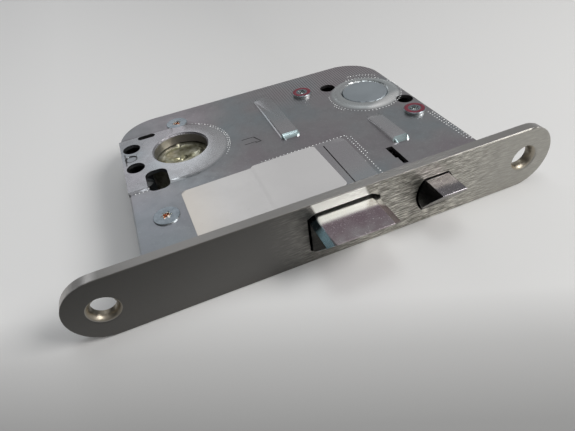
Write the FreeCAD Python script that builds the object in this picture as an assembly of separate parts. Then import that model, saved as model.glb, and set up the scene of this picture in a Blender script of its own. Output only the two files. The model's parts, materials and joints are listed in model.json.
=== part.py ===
import FreeCAD, Part
import math
import os
from FreeCAD import Placement, Rotation, Vector

# Mortise lock with a self-latching bevelled latch, lying on its side.
# X runs along the faceplate, Y into the door and Z through the door's thickness.
# The origin is the middle of the faceplate's front face. Sizes are in millimetres.

# Faceplate
plate_length = 141.0
plate_width = 20.0
plate_thickness = 3.0
plate_edge_chamfer = 0.3
plate_screw_margin = 9.5
plate_screw_hole_r = 3.1
plate_countersink_r = 4.4
plate_countersink_depth = 1.5

# Case: a tray and a cover of sheet steel. Of any change in its length, the cylinder's side takes most.
case_length = 98.0
case_left_share = 0.75
case_datum_x = 24.3
case_depth = 76.35
case_height = 14.0
case_corner_r = 13.5
sheet = 1.2
edge_chamfer = 0.5

# Places of the cylinder and the follower, from the case's ends and back
cylinder_to_back = 26.35
cylinder_to_left = 18.6
follower_to_right = 12.8

# Embossed zones: raised outwards by one height, with sloping borders
zone_rise = 0.6
zone_slope = 0.8
zone_corner_r = 2.2
zone_wall = 0.72
cylinder_zone_r = 16.2
cylinder_zone_shift_x = -1.2
cylinder_zone_shift_y = -1.3
latch_zone_left = 16.8
latch_zone_right = 13.9
latch_zone_depth = 28.6
follower_zone_r = 12.3
follower_rise = 0.9
follower_crown_r = 9.3
follower_shoulder_r = 10.9
follower_shoulder_rise = 0.6

# Hollow ribs pressed out of the cover over the two tails: highest at the front, fading towards the back
rib_rise = 1.4
rib_end_rise = 0.45
rib_slope = 0.7
rib_front_slope = 1.9
rib_corner_share = 0.5
rib_least_half = 0.4
latch_rib_width = 6.6
latch_rib_setback = 14.0
latch_rib_length = 31.2
trigger_rib_width = 5.4
trigger_rib_start = 16.4
trigger_rib_end_setback = 15.6

# Formed collars that carry the hub and the follower
collar_wall = 1.0
collar_depth = 2.2
collar_chamfer = 0.5
cylinder_hole_r = 8.65
follower_hole_r = 7.95

# Clearances
slide_gap = 0.3
head_gap = 0.4
running_gap = 0.05
opening_gap_z = 0.8
fit_gap = 0.04

# Holes in the flat sides, measured from the case's left end and from the cylinder's axis
fixing_offset_x = 9.2
fixing_offset_y = 11.1
fixing_hole_r = 2.75
end_hole_inset = 3.6
end_hole_offset = 1.3
end_hole_pitch = 12.0
end_hole_r = 2.8
end_mark_inset = 2.8
end_mark_r = 1.85
end_mark_depth = 0.2
window_inset = 9.0
window_offset = -13.9
window_width = 6.6
window_height = 9.9
window_corner_r = 2.4
slit_inset = 9.2
slit_offset = 12.8
slit_length = 5.8
slit_width = 2.3
slit_corner_share = 0.45
slot_x = 25.4
slot_y = 11.7
slot_width = 2.1
slot_length = 9.1
slot_step = 3.4
slot_step_width = 0.5
groove_x = 8.95
groove_width = 0.35
groove_depth = 0.15
groove_end = 26.0

# Screws and the posts they enter
flat_front_inset = 8.6
flat_front_y = 18.1
flat_back_inset = 20.4
flat_back_offset = 17.0
pan_back_inset = 31.8
pan_back_offset = 12.2
pan_side_inset = 5.35
pan_side_offset = -19.5
flat_head_r = 3.65
flat_head_proud = 0.35
flat_head_gap = 0.2
pan_head_r = 3.55
pan_head_height = 0.95
pan_rim_share = 0.45
pan_crown_share = 0.8
screw_shank_r = 1.9
screw_hole_gap = 0.2
screw_length = 9.0
star_outer_r = 1.75
star_inner_r = 1.3
star_depth = 1.0
post_r = 3.1
spigot_r = 2.0

# Latch bolt: an eight-sided head bevelled on its underside, with a tail that ends in a crossbar
latch_x = 2.8
latch_width = 20.3
latch_corner_x = 2.5
latch_corner_z = 1.3
latch_throw = 11.8
latch_travel = 11.5
latch_body_length = 15.6
bolt_tip_land = 0.15
bevel_start = 0.2
tip_chamfer = 0.12
tail_half_width = 2.8
tail_half_thickness = 1.8
tail_socket_depth = 9.0
latch_pin_r = 1.5
crossbar_setback = 7.0
crossbar_depth = 2.6
crossbar_gap = 1.8
tail_lug_length = 6.0
tail_lug_width = 3.0
tail_end_margin = 4.0

# Trigger bolt: a barrel-shaped head with a ramp ear and a square tail
trigger_x = 30.6
trigger_width = 11.2
trigger_flat_width = 7.2
trigger_half_thickness = 5.1
trigger_throw = 8.1
trigger_travel = 7.8
trigger_body_length = 9.0
trigger_tail_half = 2.0
trigger_tail_setback = 19.0
ear_half_thickness = 1.5
ear_inner_offset = 4.3
ear_length = 14.2
ear_overlap = 2.0
ear_root_inset = 0.6
ear_low_margin = 1.2
ear_pad_gap = 0.35

# Springs and the brackets that hold their far ends
latch_spring_mean_r = 4.3
latch_spring_wire = 0.9
latch_spring_turns = 7.0
trigger_spring_mean_r = 3.6
trigger_spring_wire = 0.7
trigger_spring_turns = 7.0
guide_thickness = 1.5
guide_foot = 4.0
spring_end_gap = 0.1
latch_guide_setback = 12.0
latch_guide_half_width = 7.5
trigger_guide_setback = 22.6
trigger_guide_half_width = 3.9
guide_top_gap = 0.6

# Arms of the hub and the follower, which push the crossbar
arm_tip_r = 2.0
arm_half_width = 1.4
arm_half_thickness = 2.0
hub_arm_share = 0.479
follower_arm_reach = 15.0
hub_r = 11.3
hub_bore_r = 7.3
hub_floor_z = 3.4
hub_notch_r = 0.45
driver_slot_r = 6.2
driver_slot_angle = 38.0
driver_slot_depth = 2.6
driver_hole_r = 1.5
follower_r = 10.2
follower_square = 8.1

# Caps that close the follower's collars
cap_r = 7.7
cap_top_gap = 0.15
cap_flange = 1.1
cap_chamfer = 0.12
cap_length = 3.2

# Deadlocking lever between the latch head and the trigger's ear
lever_x = 18.9
lever_y = 9.6
lever_eye_r = 3.0
lever_half_thickness = 1.0
lever_half_width = 1.5
lever_length = 13.4
lever_turn = 8.0
lever_pad_r = 1.2
lever_pad_offset = 3.4
lever_pad_height = 12.0
lever_neck_share = 0.85
lever_nose_offset = 3.7
lever_nose_low = 7.9
lever_nose_high = 11.9
stud_r = 1.6
stud_shoulder_r = 2.6
clip_r = 3.0
clip_thickness = 0.6
clip_half_split = 0.7
clip_turns_above = 1.6
lever_spring_mean_r = 2.3
lever_spring_wire = 0.5
lever_spring_turns = 3.0
lever_spring_leg = 6.5
lever_spring_pitch_share = 1.25
coil_steps = 14

# Inspection label on the cover
label_inset = 14.0
label_right = 6.3
label_low = 4.4
label_setback = 23.4
label_corner_r = 1.5
label_turn = 1.6
label_thickness = 0.12
label_edge_gap = 0.2
label_overhang = 2.0

# Values worked out from the sizes above
outer_z = case_height / 2
inner_z = outer_z - sheet
case_left = case_datum_x - case_left_share * case_length
case_right = case_left + case_length
backset = case_depth - cylinder_to_back
cylinder_x = case_left + cylinder_to_left
follower_x = case_right - follower_to_right
plate_screw_x = plate_length / 2 - plate_screw_margin
end_hole_x = case_left + end_hole_inset
end_hole_y = backset + end_hole_offset
window_x = case_left + window_inset
window_y = backset + window_offset
flat_screw_places = (
    (case_left + flat_front_inset, flat_front_y),
    (case_left + flat_back_inset, backset + flat_back_offset),
)
pan_screw_places = (
    (case_right - pan_back_inset, backset + pan_back_offset),
    (case_right - pan_side_inset, backset + pan_side_offset),
)
latch_rib_start = backset - latch_rib_setback
trigger_rib_length = backset - trigger_rib_end_setback - trigger_rib_start
crossbar_y = backset - crossbar_setback
crossbar_left = cylinder_x + hub_r + crossbar_gap
crossbar_right = follower_x - follower_r - crossbar_gap
latch_guide_y = backset - latch_guide_setback
trigger_guide_y = backset - trigger_guide_setback
trigger_tail_end = backset - trigger_tail_setback
hub_arm_reach = hub_arm_share * (latch_x - cylinder_x)
label_left = case_left + label_inset
label_high = backset - label_setback
latch_half = inner_z + zone_rise - slide_gap
hub_half = inner_z + zone_rise - slide_gap
follower_half = inner_z + slide_gap
crossbar_rest_tip = crossbar_y - slide_gap - arm_tip_r


def box(x0, x1, y0, y1, z0, z1):
    return Part.makeBox(x1 - x0, y1 - y0, z1 - z0, Vector(x0, y0, z0))


def disc(x, y, z0, z1, r):
    return Part.makeCylinder(r, z1 - z0, Vector(x, y, z0))


def prism(points, z0, z1):
    """A polygon in X and Y, raised from z0 to z1."""
    wire = Part.makePolygon([Vector(x, y, z0) for x, y in points + [points[0]]])
    return Part.Face(wire).extrude(Vector(0, 0, z1 - z0))


def joined(solids):
    result = solids[0]
    for solid in solids[1:]:
        result = result.fuse(solid)
    return result.removeSplitter()


def mirrored_z(shape):
    return shape.mirror(Vector(0, 0, 0), Vector(0, 0, 1))


def revolved(x, y, profile):
    """A closed outline of (radius, height) points and (middle, end) arcs, turned about a Z axis."""
    edges = []
    last = profile[0]
    for item in profile[1:]:
        if isinstance(item[0], tuple):
            middle, end = item
            edges.append(Part.Arc(*[Vector(x + r, y, z) for r, z in (last, middle, end)]).toShape())
        else:
            end = item
            edges.append(Part.LineSegment(
                Vector(x + last[0], y, last[1]), Vector(x + end[0], y, end[1])).toShape())
        last = end
    return Part.Face(Part.Wire(edges)).revolve(Vector(x, y, 0), Vector(0, 0, 1), 360)


def rounded_rectangle(x0, x1, y0, y1, r, z):
    """A closed wire with four equal round corners."""
    d = r * (1 - math.sqrt(0.5))
    corners = (
        ((x1 - r, y0), (x1 - d, y0 + d), (x1, y0 + r)),
        ((x1, y1 - r), (x1 - d, y1 - d), (x1 - r, y1)),
        ((x0 + r, y1), (x0 + d, y1 - d), (x0, y1 - r)),
        ((x0, y0 + r), (x0 + d, y0 + d), (x0 + r, y0)),
    )
    edges = []
    for i, corner in enumerate(corners):
        start, middle, end = [Vector(px, py, z) for px, py in corner]
        following = Vector(*corners[(i + 1) % 4][0], z)
        edges.append(Part.Arc(start, middle, end).toShape())
        edges.append(Part.LineSegment(end, following).toShape())
    return Part.Wire(edges)


def rounded_block(x0, x1, y0, y1, r, z0, z1):
    return Part.Face(rounded_rectangle(x0, x1, y0, y1, r, z0)).extrude(Vector(0, 0, z1 - z0))


def case_outline(inset, z):
    """The case's outline: square at the faceplate, round at the two back corners."""
    x0 = case_left + inset
    x1 = case_right - inset
    front = plate_thickness + inset
    back = case_depth - inset
    r = case_corner_r - inset
    d = r * (1 - math.sqrt(0.5))
    right = [Vector(x1, back - r, z), Vector(x1 - d, back - d, z), Vector(x1 - r, back, z)]
    left = [Vector(x0 + r, back, z), Vector(x0 + d, back - d, z), Vector(x0, back - r, z)]
    start = Vector(x0, front, z)
    corner = Vector(x1, front, z)
    return Part.Wire([
        Part.LineSegment(start, corner).toShape(),
        Part.LineSegment(corner, right[0]).toShape(),
        Part.Arc(*right).toShape(),
        Part.LineSegment(right[2], left[0]).toShape(),
        Part.Arc(*left).toShape(),
        Part.LineSegment(left[2], start).toShape(),
    ])


def case_block(inset, z0, z1):
    return Part.Face(case_outline(inset, z0)).extrude(Vector(0, 0, z1 - z0))


def cylinder_zone_wire_from(left):
    """An outline function for a tongue from this X to a half circle round the cylinder."""
    cx = cylinder_x + cylinder_zone_shift_x
    cy = backset + cylinder_zone_shift_y

    def wire_at(inset, z):
        r = cylinder_zone_r - inset
        top = cy + r
        low = cy - r
        return Part.Wire([
            Part.LineSegment(Vector(left, low, z), Vector(cx, low, z)).toShape(),
            Part.Arc(Vector(cx, low, z), Vector(cx + r, cy, z), Vector(cx, top, z)).toShape(),
            Part.LineSegment(Vector(cx, top, z), Vector(left, top, z)).toShape(),
            Part.LineSegment(Vector(left, top, z), Vector(left, low, z)).toShape(),
        ])
    return wire_at


def latch_zone_wire(inset, z):
    """A rectangle over the latch head that starts at the faceplate."""
    x0 = latch_x - latch_zone_left + inset
    x1 = latch_x + latch_zone_right - inset
    y0 = plate_thickness
    y1 = latch_zone_depth - inset
    r = zone_corner_r
    d = r * (1 - math.sqrt(0.5))
    start = Vector(x0, y0, z)
    corner = Vector(x1, y0, z)
    right = [Vector(x1, y1 - r, z), Vector(x1 - d, y1 - d, z), Vector(x1 - r, y1, z)]
    left = [Vector(x0 + r, y1, z), Vector(x0 + d, y1 - d, z), Vector(x0, y1 - r, z)]
    return Part.Wire([
        Part.LineSegment(start, corner).toShape(),
        Part.LineSegment(corner, right[0]).toShape(),
        Part.Arc(*right).toShape(),
        Part.LineSegment(right[2], left[0]).toShape(),
        Part.Arc(*left).toShape(),
        Part.LineSegment(left[2], start).toShape(),
    ])


def embossed(wire_at, z, rise, slope):
    """A raised pad whose border slopes inwards, with a root that fills the case's chamfered edge."""
    root = Part.Face(wire_at(0, z - edge_chamfer)).extrude(Vector(0, 0, edge_chamfer))
    return root.fuse(Part.makeLoft([wire_at(0, z), wire_at(slope, z + rise)], True, True))


def hollow(wire_at, rise, slope):
    """The pocket that follows an embossed pad on the inside of the sheet."""
    foot, crown = wire_at(zone_wall, inner_z), wire_at(zone_wall + slope, inner_z + rise)
    return Part.makeLoft([foot, crown], True, True)


def rib_wire_at(x, y0, length, width):
    """An outline function for a rib along Y, whose corners stay round as it narrows."""
    def wire_at(inset, z):
        r = max(width / 2 - inset, rib_least_half) * rib_corner_share
        return rounded_rectangle(
            x - width / 2 + inset, x + width / 2 - inset, y0 + inset, y0 + length - inset, r, z)
    return wire_at


def rib_room(x, y0, length, z):
    """The room below a rib's top, which climbs over its front and falls slowly towards the back."""
    points = [
        Vector(x, y0, z - sheet),
        Vector(x, y0, z),
        Vector(x, y0 + rib_front_slope, z + rib_rise),
        Vector(x, y0 + length, z + rib_end_rise),
        Vector(x, y0 + length, z - sheet),
    ]
    half = Vector(latch_rib_width, 0, 0)
    wire = Part.makePolygon([point - half for point in points + [points[0]]])
    return Part.Face(wire).extrude(half * 2)


def follower_dome():
    """The raised crown round the follower's hole, whose slope eases off towards the top."""
    top = outer_z + follower_rise
    return revolved(follower_x, backset, [
        (0, outer_z),
        (follower_zone_r, outer_z),
        (follower_shoulder_r, outer_z + follower_shoulder_rise),
        (follower_crown_r, top),
        (0, top),
        (0, outer_z),
    ])


def follower_hollow():
    return revolved(follower_x, backset, [
        (0, inner_z),
        (follower_zone_r - zone_wall, inner_z),
        (follower_crown_r + slide_gap, inner_z + follower_rise),
        (0, inner_z + follower_rise),
        (0, inner_z),
    ])


def collar(x, hole_r, top):
    """A collar drawn inwards round a hole, with a chamfer where the hole starts."""
    bottom = top - sheet - collar_depth
    return revolved(x, backset, [
        (hole_r, bottom),
        (hole_r + collar_wall, bottom),
        (hole_r + collar_wall, top),
        (hole_r + collar_chamfer, top),
        (hole_r, top - collar_chamfer),
        (hole_r, bottom),
    ])


def with_zones(plate):
    """Adds the three embossed zones and the two collars to the +Z side of a flat sheet."""
    pads = [
        embossed(cylinder_zone_wire_from(case_left), outer_z, zone_rise, zone_slope),
        embossed(latch_zone_wire, outer_z, zone_rise, zone_slope),
        follower_dome(),
    ]
    result = joined([plate] + pads)
    result = result.cut(hollow(cylinder_zone_wire_from(case_left + sheet), zone_rise, zone_slope))
    result = result.cut(hollow(latch_zone_wire, zone_rise, zone_slope))
    result = result.cut(follower_hollow())
    for x, hole_r, rise in (
        (cylinder_x, cylinder_hole_r, zone_rise),
        (follower_x, follower_hole_r, follower_rise),
    ):
        top = outer_z + rise
        result = result.cut(disc(x, backset, inner_z, top + 1, hole_r + collar_wall))
        result = result.fuse(collar(x, hole_r, top))
    return result


def side_holes():
    """The holes that both flat sides share, as cutters through the whole case and any wall they meet."""
    high = outer_z + follower_rise + 1
    cutters = []
    for side in (-1, 1):
        cutters.append(disc(follower_x - side * fixing_offset_x, backset + side * fixing_offset_y,
                            -high, high, fixing_hole_r))
        cutters.append(disc(end_hole_x, end_hole_y + side * end_hole_pitch / 2, -high, high, end_hole_r))
    cutters.append(rounded_block(window_x - window_width / 2, window_x + window_width / 2,
                                 window_y - window_height / 2, window_y + window_height / 2,
                                 window_corner_r, -high, high))
    return cutters


def latch_section(gap_x, gap_z):
    """The latch head's eight-sided section as (x, z) points, grown by its gaps."""
    w = latch_width / 2 + gap_x
    h = latch_half + gap_z
    a = w - latch_corner_x
    b = h - latch_corner_z
    points = [(a, -h), (w, -b), (w, b), (a, h), (-a, h), (-w, b), (-w, -b), (-a, -h)]
    return [(latch_x + x, z) for x, z in points]


def along_y(points, y0, y1):
    """An outline of (x, z) points, extruded along Y."""
    wire = Part.makePolygon([Vector(x, y0, z) for x, z in points + [points[0]]])
    return Part.Face(wire).extrude(Vector(0, y1 - y0, 0))


def trigger_prism(gap, y0, y1):
    """The trigger head's section: flat above and below, bowed at both ends."""
    w = trigger_width / 2 + gap
    f = trigger_flat_width / 2 + gap * 0.5
    h = trigger_half_thickness + gap
    corners = [Vector(trigger_x + x, y0, z) for x, z in ((-f, h), (f, h), (f, -h), (-f, -h))]
    wire = Part.Wire([
        Part.LineSegment(corners[0], corners[1]).toShape(),
        Part.Arc(corners[1], Vector(trigger_x + w, y0, 0), corners[2]).toShape(),
        Part.LineSegment(corners[2], corners[3]).toShape(),
        Part.Arc(corners[3], Vector(trigger_x - w, y0, 0), corners[0]).toShape(),
    ])
    return Part.Face(wire).extrude(Vector(0, y1 - y0, 0))


def bolt_openings(y0, y1):
    return [along_y(latch_section(head_gap, opening_gap_z), y0, y1), trigger_prism(head_gap, y0, y1)]


def faceplate():
    """A flat strip with full round ends, countersunk screw holes and the two bolt openings."""
    half = plate_length / 2
    r = plate_width / 2
    ends = [
        Vector(-half + r, 0, r), Vector(half - r, 0, r), Vector(half - r, 0, -r), Vector(-half + r, 0, -r),
    ]
    wire = Part.Wire([
        Part.LineSegment(ends[0], ends[1]).toShape(),
        Part.Arc(ends[1], Vector(half, 0, 0), ends[2]).toShape(),
        Part.LineSegment(ends[2], ends[3]).toShape(),
        Part.Arc(ends[3], Vector(-half, 0, 0), ends[0]).toShape(),
    ])
    plate = Part.Face(wire).extrude(Vector(0, plate_thickness, 0))
    rim = [edge for edge in plate.Edges if edge.BoundBox.YMax < 0.01]
    plate = plate.makeChamfer(plate_edge_chamfer, rim)
    for opening in bolt_openings(-1, plate_thickness + 1):
        plate = plate.cut(opening)
    for side in (-1, 1):
        centre = Vector(side * plate_screw_x, 0, 0)
        inward = Vector(0, 1, 0)
        hole = Part.makeCylinder(plate_screw_hole_r, plate_thickness + 2, centre - inward, inward)
        sink = Part.makeCone(plate_countersink_r, plate_screw_hole_r, plate_countersink_depth, centre, inward)
        plate = plate.cut(hole).cut(sink)
    return plate


def screw_hole(x, y):
    return disc(x, y, inner_z - 1, outer_z + 1, screw_shank_r + screw_hole_gap)


def countersink(x, y):
    """The cone that a flat head fills, with the straight recess above it where a zone's border crosses."""
    r = flat_head_r
    cone = Part.makeCone(screw_shank_r, r, r - screw_shank_r, Vector(x, y, outer_z - (r - screw_shank_r)))
    return cone.fuse(disc(x, y, outer_z, outer_z + zone_rise + 1, r + flat_head_gap))


def case_cover():
    """The visible lid: flat sheet with embossed zones, hollow ribs, collars, holes and a soft outer edge."""
    plate = case_block(0, inner_z, outer_z)
    rim = [edge for edge in plate.Edges
           if edge.BoundBox.ZMin > outer_z - 0.01 and edge.BoundBox.YMax > plate_thickness + 0.01]
    plate = plate.makeChamfer(edge_chamfer, rim)
    cover = with_zones(plate)
    for x, start, length, width in (
        (latch_x, latch_rib_start, latch_rib_length, latch_rib_width),
        (trigger_x, trigger_rib_start, trigger_rib_length, trigger_rib_width),
    ):
        wire_at = rib_wire_at(x, start, length, width)
        rib = embossed(wire_at, outer_z, rib_rise, rib_slope).common(rib_room(x, start, length, outer_z))
        pocket = hollow(wire_at, rib_rise, rib_slope).common(rib_room(x, start, length, inner_z))
        cover = cover.fuse(rib).cut(pocket)
    for cutter in side_holes():
        cover = cover.cut(cutter)
    for x, y in flat_screw_places:
        cover = cover.cut(screw_hole(x, y)).cut(countersink(x, y))
    for x, y in pan_screw_places:
        cover = cover.cut(screw_hole(x, y))
    cover = cover.cut(cover_slits())
    for opening in bolt_openings(plate_thickness - 1, plate_thickness + sheet + slide_gap):
        cover = cover.cut(opening.common(box(case_left, case_right, 0, backset, 0, latch_half + slide_gap)))
    zone_top = outer_z + zone_rise
    mark = disc(case_left + end_mark_inset, end_hole_y, zone_top - end_mark_depth, zone_top + 1, end_mark_r)
    groove = box(groove_x - groove_width / 2, groove_x + groove_width / 2, plate_thickness - 1, groove_end,
                 zone_top - groove_depth, zone_top + 1)
    return cover.cut(mark).cut(groove).removeSplitter()


def cover_slits():
    """The stepped slot near the trigger and the short slit beside the cylinder."""
    y0 = slot_y - slot_length / 2
    x0 = slot_x - slot_width / 2
    low = inner_z - 1
    high = outer_z + zone_rise + 1
    stepped = joined([
        box(x0 + slot_step_width, x0 + slot_width, y0, y0 + slot_length, low, high),
        box(x0, x0 + slot_width, y0 + slot_step, y0 + slot_length, low, high),
    ])
    slit_x = case_left + slit_inset
    slit_y = backset + slit_offset
    slit = rounded_block(slit_x - slit_length / 2, slit_x + slit_length / 2,
                         slit_y - slit_width / 2, slit_y + slit_width / 2,
                         slit_width * slit_corner_share, low, high)
    return Part.makeCompound([stepped, slit])


def case_tray():
    """The rear shell: floor and walls drawn from one sheet, with the same zones pressed outwards."""
    shell = case_block(0, -outer_z, inner_z)
    rim = [edge for edge in shell.Edges
           if edge.BoundBox.ZMax < -outer_z + 0.01 and edge.BoundBox.YMax > plate_thickness + 0.01]
    shell = shell.makeChamfer(edge_chamfer, rim)
    shell = shell.cut(case_block(sheet, -inner_z, inner_z + 1))
    floor = mirrored_z(with_zones(mirrored_z(shell)))
    for cutter in side_holes():
        floor = floor.cut(cutter)
    for x, y in flat_screw_places + pan_screw_places:
        floor = floor.cut(disc(x, y, -outer_z - 1, -inner_z + 1, spigot_r))
    floor = floor.cut(disc(lever_x, lever_y, -outer_z - 1, -inner_z + 1, stud_r))
    for opening in bolt_openings(plate_thickness - 1, plate_thickness + sheet + slide_gap):
        beside = box(case_left, case_right, 0, backset, -latch_half - slide_gap, outer_z)
        floor = floor.cut(opening.common(beside))
    return floor.removeSplitter()


def spacer_posts():
    """Four threaded posts between floor and cover, each riveted through the floor."""
    posts = []
    for x, y in flat_screw_places + pan_screw_places:
        post = disc(x, y, -inner_z, inner_z, post_r).fuse(disc(x, y, -outer_z, -inner_z, spigot_r))
        post = post.cut(disc(x, y, outer_z - screw_length - 1, outer_z, screw_shank_r + fit_gap))
        if (x, y) in flat_screw_places:
            post = post.cut(countersink(x, y))
        posts.append(post)
    return Part.makeCompound(posts)


def star_recess(x, y, top):
    """The six-pointed recess of a screw head."""
    points = []
    for k in range(12):
        r = star_inner_r if k % 2 else star_outer_r
        a = math.radians(30 * k)
        points.append((x + r * math.cos(a), y + r * math.sin(a)))
    return prism(points, top - star_depth, top + 1)


def flat_head_screws():
    screws = []
    for x, y in flat_screw_places:
        drop = flat_head_r - screw_shank_r
        top = outer_z + flat_head_proud
        screw = revolved(x, y, [
            (0, outer_z - screw_length),
            (screw_shank_r, outer_z - screw_length),
            (screw_shank_r, outer_z - drop),
            (flat_head_r, outer_z),
            (flat_head_r, top),
            (0, top),
            (0, outer_z - screw_length),
        ])
        screws.append(screw.cut(star_recess(x, y, top)))
    return Part.makeCompound(screws)


def pan_head_screws():
    screws = []
    top = outer_z + pan_head_height
    for x, y in pan_screw_places:
        head = revolved(x, y, [
            (0, outer_z),
            (pan_head_r, outer_z),
            (pan_head_r, outer_z + pan_head_height * pan_rim_share),
            (pan_head_r * pan_crown_share, top),
            (0, top),
            (0, outer_z),
        ])
        screw = head.fuse(disc(x, y, outer_z - screw_length, outer_z, screw_shank_r))
        screws.append(screw.cut(star_recess(x, y, top)).removeSplitter())
    return Part.makeCompound(screws)


def bevel_cutter(x0, x1, throw, half):
    """A wedge that cuts a bolt's underside from its root at the faceplate up to its tip."""
    points = [
        Vector(x0, -bevel_start, -half - 1),
        Vector(x0, -bevel_start, -half),
        Vector(x0, -throw, half - bolt_tip_land),
        Vector(x0, -throw - 1, half - bolt_tip_land),
        Vector(x0, -throw - 1, -half - 1),
    ]
    return Part.Face(Part.makePolygon(points + [points[0]])).extrude(Vector(x1 - x0, 0, 0))


def softened_tip(bolt, y, z):
    """Breaks the upper tip edge of a bevelled bolt."""
    edges = [edge for edge in bolt.Edges if edge.BoundBox.YMax < y + 0.01 and edge.BoundBox.ZMin > z - 0.01]
    return bolt.makeChamfer(tip_chamfer, edges)


def latch_head():
    """The latch's head, with a blind socket for its tail and a cross hole for the pin."""
    head = along_y(latch_section(0, 0), -latch_throw, latch_body_length)
    head = head.cut(bevel_cutter(latch_x - latch_width, latch_x + latch_width, latch_throw, latch_half))
    head = softened_tip(head, -latch_throw, latch_half)
    socket = box(latch_x - tail_half_width, latch_x + tail_half_width,
                 latch_body_length - tail_socket_depth, latch_body_length + 1,
                 -tail_half_thickness, tail_half_thickness)
    pin_y = latch_body_length - tail_socket_depth / 2
    return head.cut(socket).cut(disc(latch_x, pin_y, -latch_half - 1, latch_half + 1, latch_pin_r))


def latch_tail():
    """A flat bar with a crossbar for the two arms and a lug that runs in the cover's rib."""
    w = tail_half_width
    end = crossbar_y + crossbar_depth + tail_end_margin
    bar = box(latch_x - w, latch_x + w, latch_body_length - tail_socket_depth, end,
              -tail_half_thickness, tail_half_thickness)
    cross = box(crossbar_left, crossbar_right, crossbar_y, crossbar_y + crossbar_depth,
                -tail_half_thickness, tail_half_thickness)
    lug = box(latch_x - tail_lug_width / 2, latch_x + tail_lug_width / 2, end - tail_lug_length, end,
              tail_half_thickness, inner_z + rib_end_rise - slide_gap)
    tail = joined([bar, cross, lug])
    pin_y = latch_body_length - tail_socket_depth / 2
    return tail.cut(disc(latch_x, pin_y, -latch_half, latch_half, latch_pin_r))


def latch_pin():
    pin_y = latch_body_length - tail_socket_depth / 2
    return disc(latch_x, pin_y, -latch_half, latch_half, latch_pin_r - fit_gap)


def coil(mean_r, wire, pitch, turns):
    """A spring wire wound round +Z, in short straight lengths with mitred joints and four flats."""
    points = []
    for k in range(int(turns * coil_steps) + 1):
        a = 2 * math.pi * k / coil_steps
        points.append(Vector(mean_r * math.cos(a), mean_r * math.sin(a), pitch * k / coil_steps))
    corners = []
    for k in range(4):
        a = math.radians(90 * k + 45)
        corners.append(Vector(mean_r + wire / 2 * math.cos(a), 0, wire / 2 * math.sin(a)))
    section = Part.makePolygon(corners + [corners[0]])
    return Part.makePolygon(points).makePipeShell([section], True, False, 1)


def compression_spring(x, y0, y1, mean_r, wire, turns):
    """A coil laid along Y, between y0 and y1."""
    body = coil(mean_r, wire, (y1 - y0 - wire) / turns, turns)
    body.Placement = Placement(Vector(x, y0 + wire / 2, 0), Rotation(Vector(1, 0, 0), -90))
    return body


def latch_spring():
    return compression_spring(latch_x, latch_body_length + slide_gap, latch_guide_y - spring_end_gap,
                              latch_spring_mean_r, latch_spring_wire, latch_spring_turns)


def trigger_spring():
    return compression_spring(trigger_x, trigger_body_length + slide_gap, trigger_guide_y - spring_end_gap,
                              trigger_spring_mean_r, trigger_spring_wire, trigger_spring_turns)


def guide(x, y, half_width, slot_half_x, slot_half_z):
    """A bent bracket on the floor: an upright with an open slot for a tail, and a foot."""
    upright = box(x - half_width, x + half_width, y, y + guide_thickness, -inner_z, inner_z - guide_top_gap)
    slot = box(x - slot_half_x - slide_gap, x + slot_half_x + slide_gap, y - 1, y + guide_thickness + 1,
               -slot_half_z - slide_gap, inner_z + 1)
    foot = box(x - half_width, x + half_width, y, y + guide_thickness + guide_foot,
               -inner_z, -inner_z + guide_thickness)
    return joined([upright.cut(slot), foot])


def latch_guide():
    return guide(latch_x, latch_guide_y, latch_guide_half_width, tail_half_width, tail_half_thickness)


def trigger_guide():
    return guide(trigger_x, trigger_guide_y, trigger_guide_half_width, trigger_tail_half, trigger_tail_half)


def ramp_slope():
    """How far the lever's pad moves in X for each millimetre that the trigger travels."""
    turn = math.radians(lever_turn)
    moved = lever_pad_offset * (1 - math.cos(turn)) + lever_pad_height * math.sin(turn)
    return moved / trigger_travel


def ramp_ear():
    """The ear beside the trigger's spring, whose left edge is the ramp that turns the lever."""
    pad_y = lever_y + lever_pad_height
    pad_x = lever_x + lever_pad_offset + lever_pad_r + ear_pad_gap
    low = pad_y - trigger_travel - ear_low_margin
    high = trigger_body_length + ear_length
    inner = trigger_x - ear_inner_offset
    points = [
        (inner, trigger_body_length - ear_overlap),
        (trigger_x - trigger_width / 2 + ear_root_inset, trigger_body_length - ear_overlap),
        (pad_x + ramp_slope() * (low - pad_y), low),
        (pad_x + ramp_slope() * (high - pad_y), high),
        (inner, high),
    ]
    return prism(points, -ear_half_thickness, ear_half_thickness)


def trigger_bolt():
    head = trigger_prism(0, -trigger_throw, trigger_body_length)
    head = head.cut(bevel_cutter(trigger_x - trigger_width, trigger_x + trigger_width,
                                 trigger_throw, trigger_half_thickness))
    head = softened_tip(head, -trigger_throw, trigger_half_thickness)
    h = trigger_tail_half
    tail = box(trigger_x - h, trigger_x + h, trigger_body_length, trigger_tail_end, -h, h)
    return joined([head, tail, ramp_ear()])


def arm(x, reach, side):
    """An arm that points at the crossbar: a straight shank with a round tip, at its rest angle."""
    rise = (crossbar_rest_tip - backset) / reach
    angle = math.degrees(math.asin(rise))
    tip = Vector(x + side * reach, backset, -arm_half_thickness)
    shank = box(min(x, tip.x), max(x, tip.x), backset - arm_half_width, backset + arm_half_width,
                -arm_half_thickness, arm_half_thickness)
    end = Part.makeCylinder(arm_tip_r, 2 * arm_half_thickness, tip)
    shape = shank.fuse(end)
    shape.rotate(Vector(x, backset, 0), Vector(0, 0, 1), side * angle)
    return shape


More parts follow.
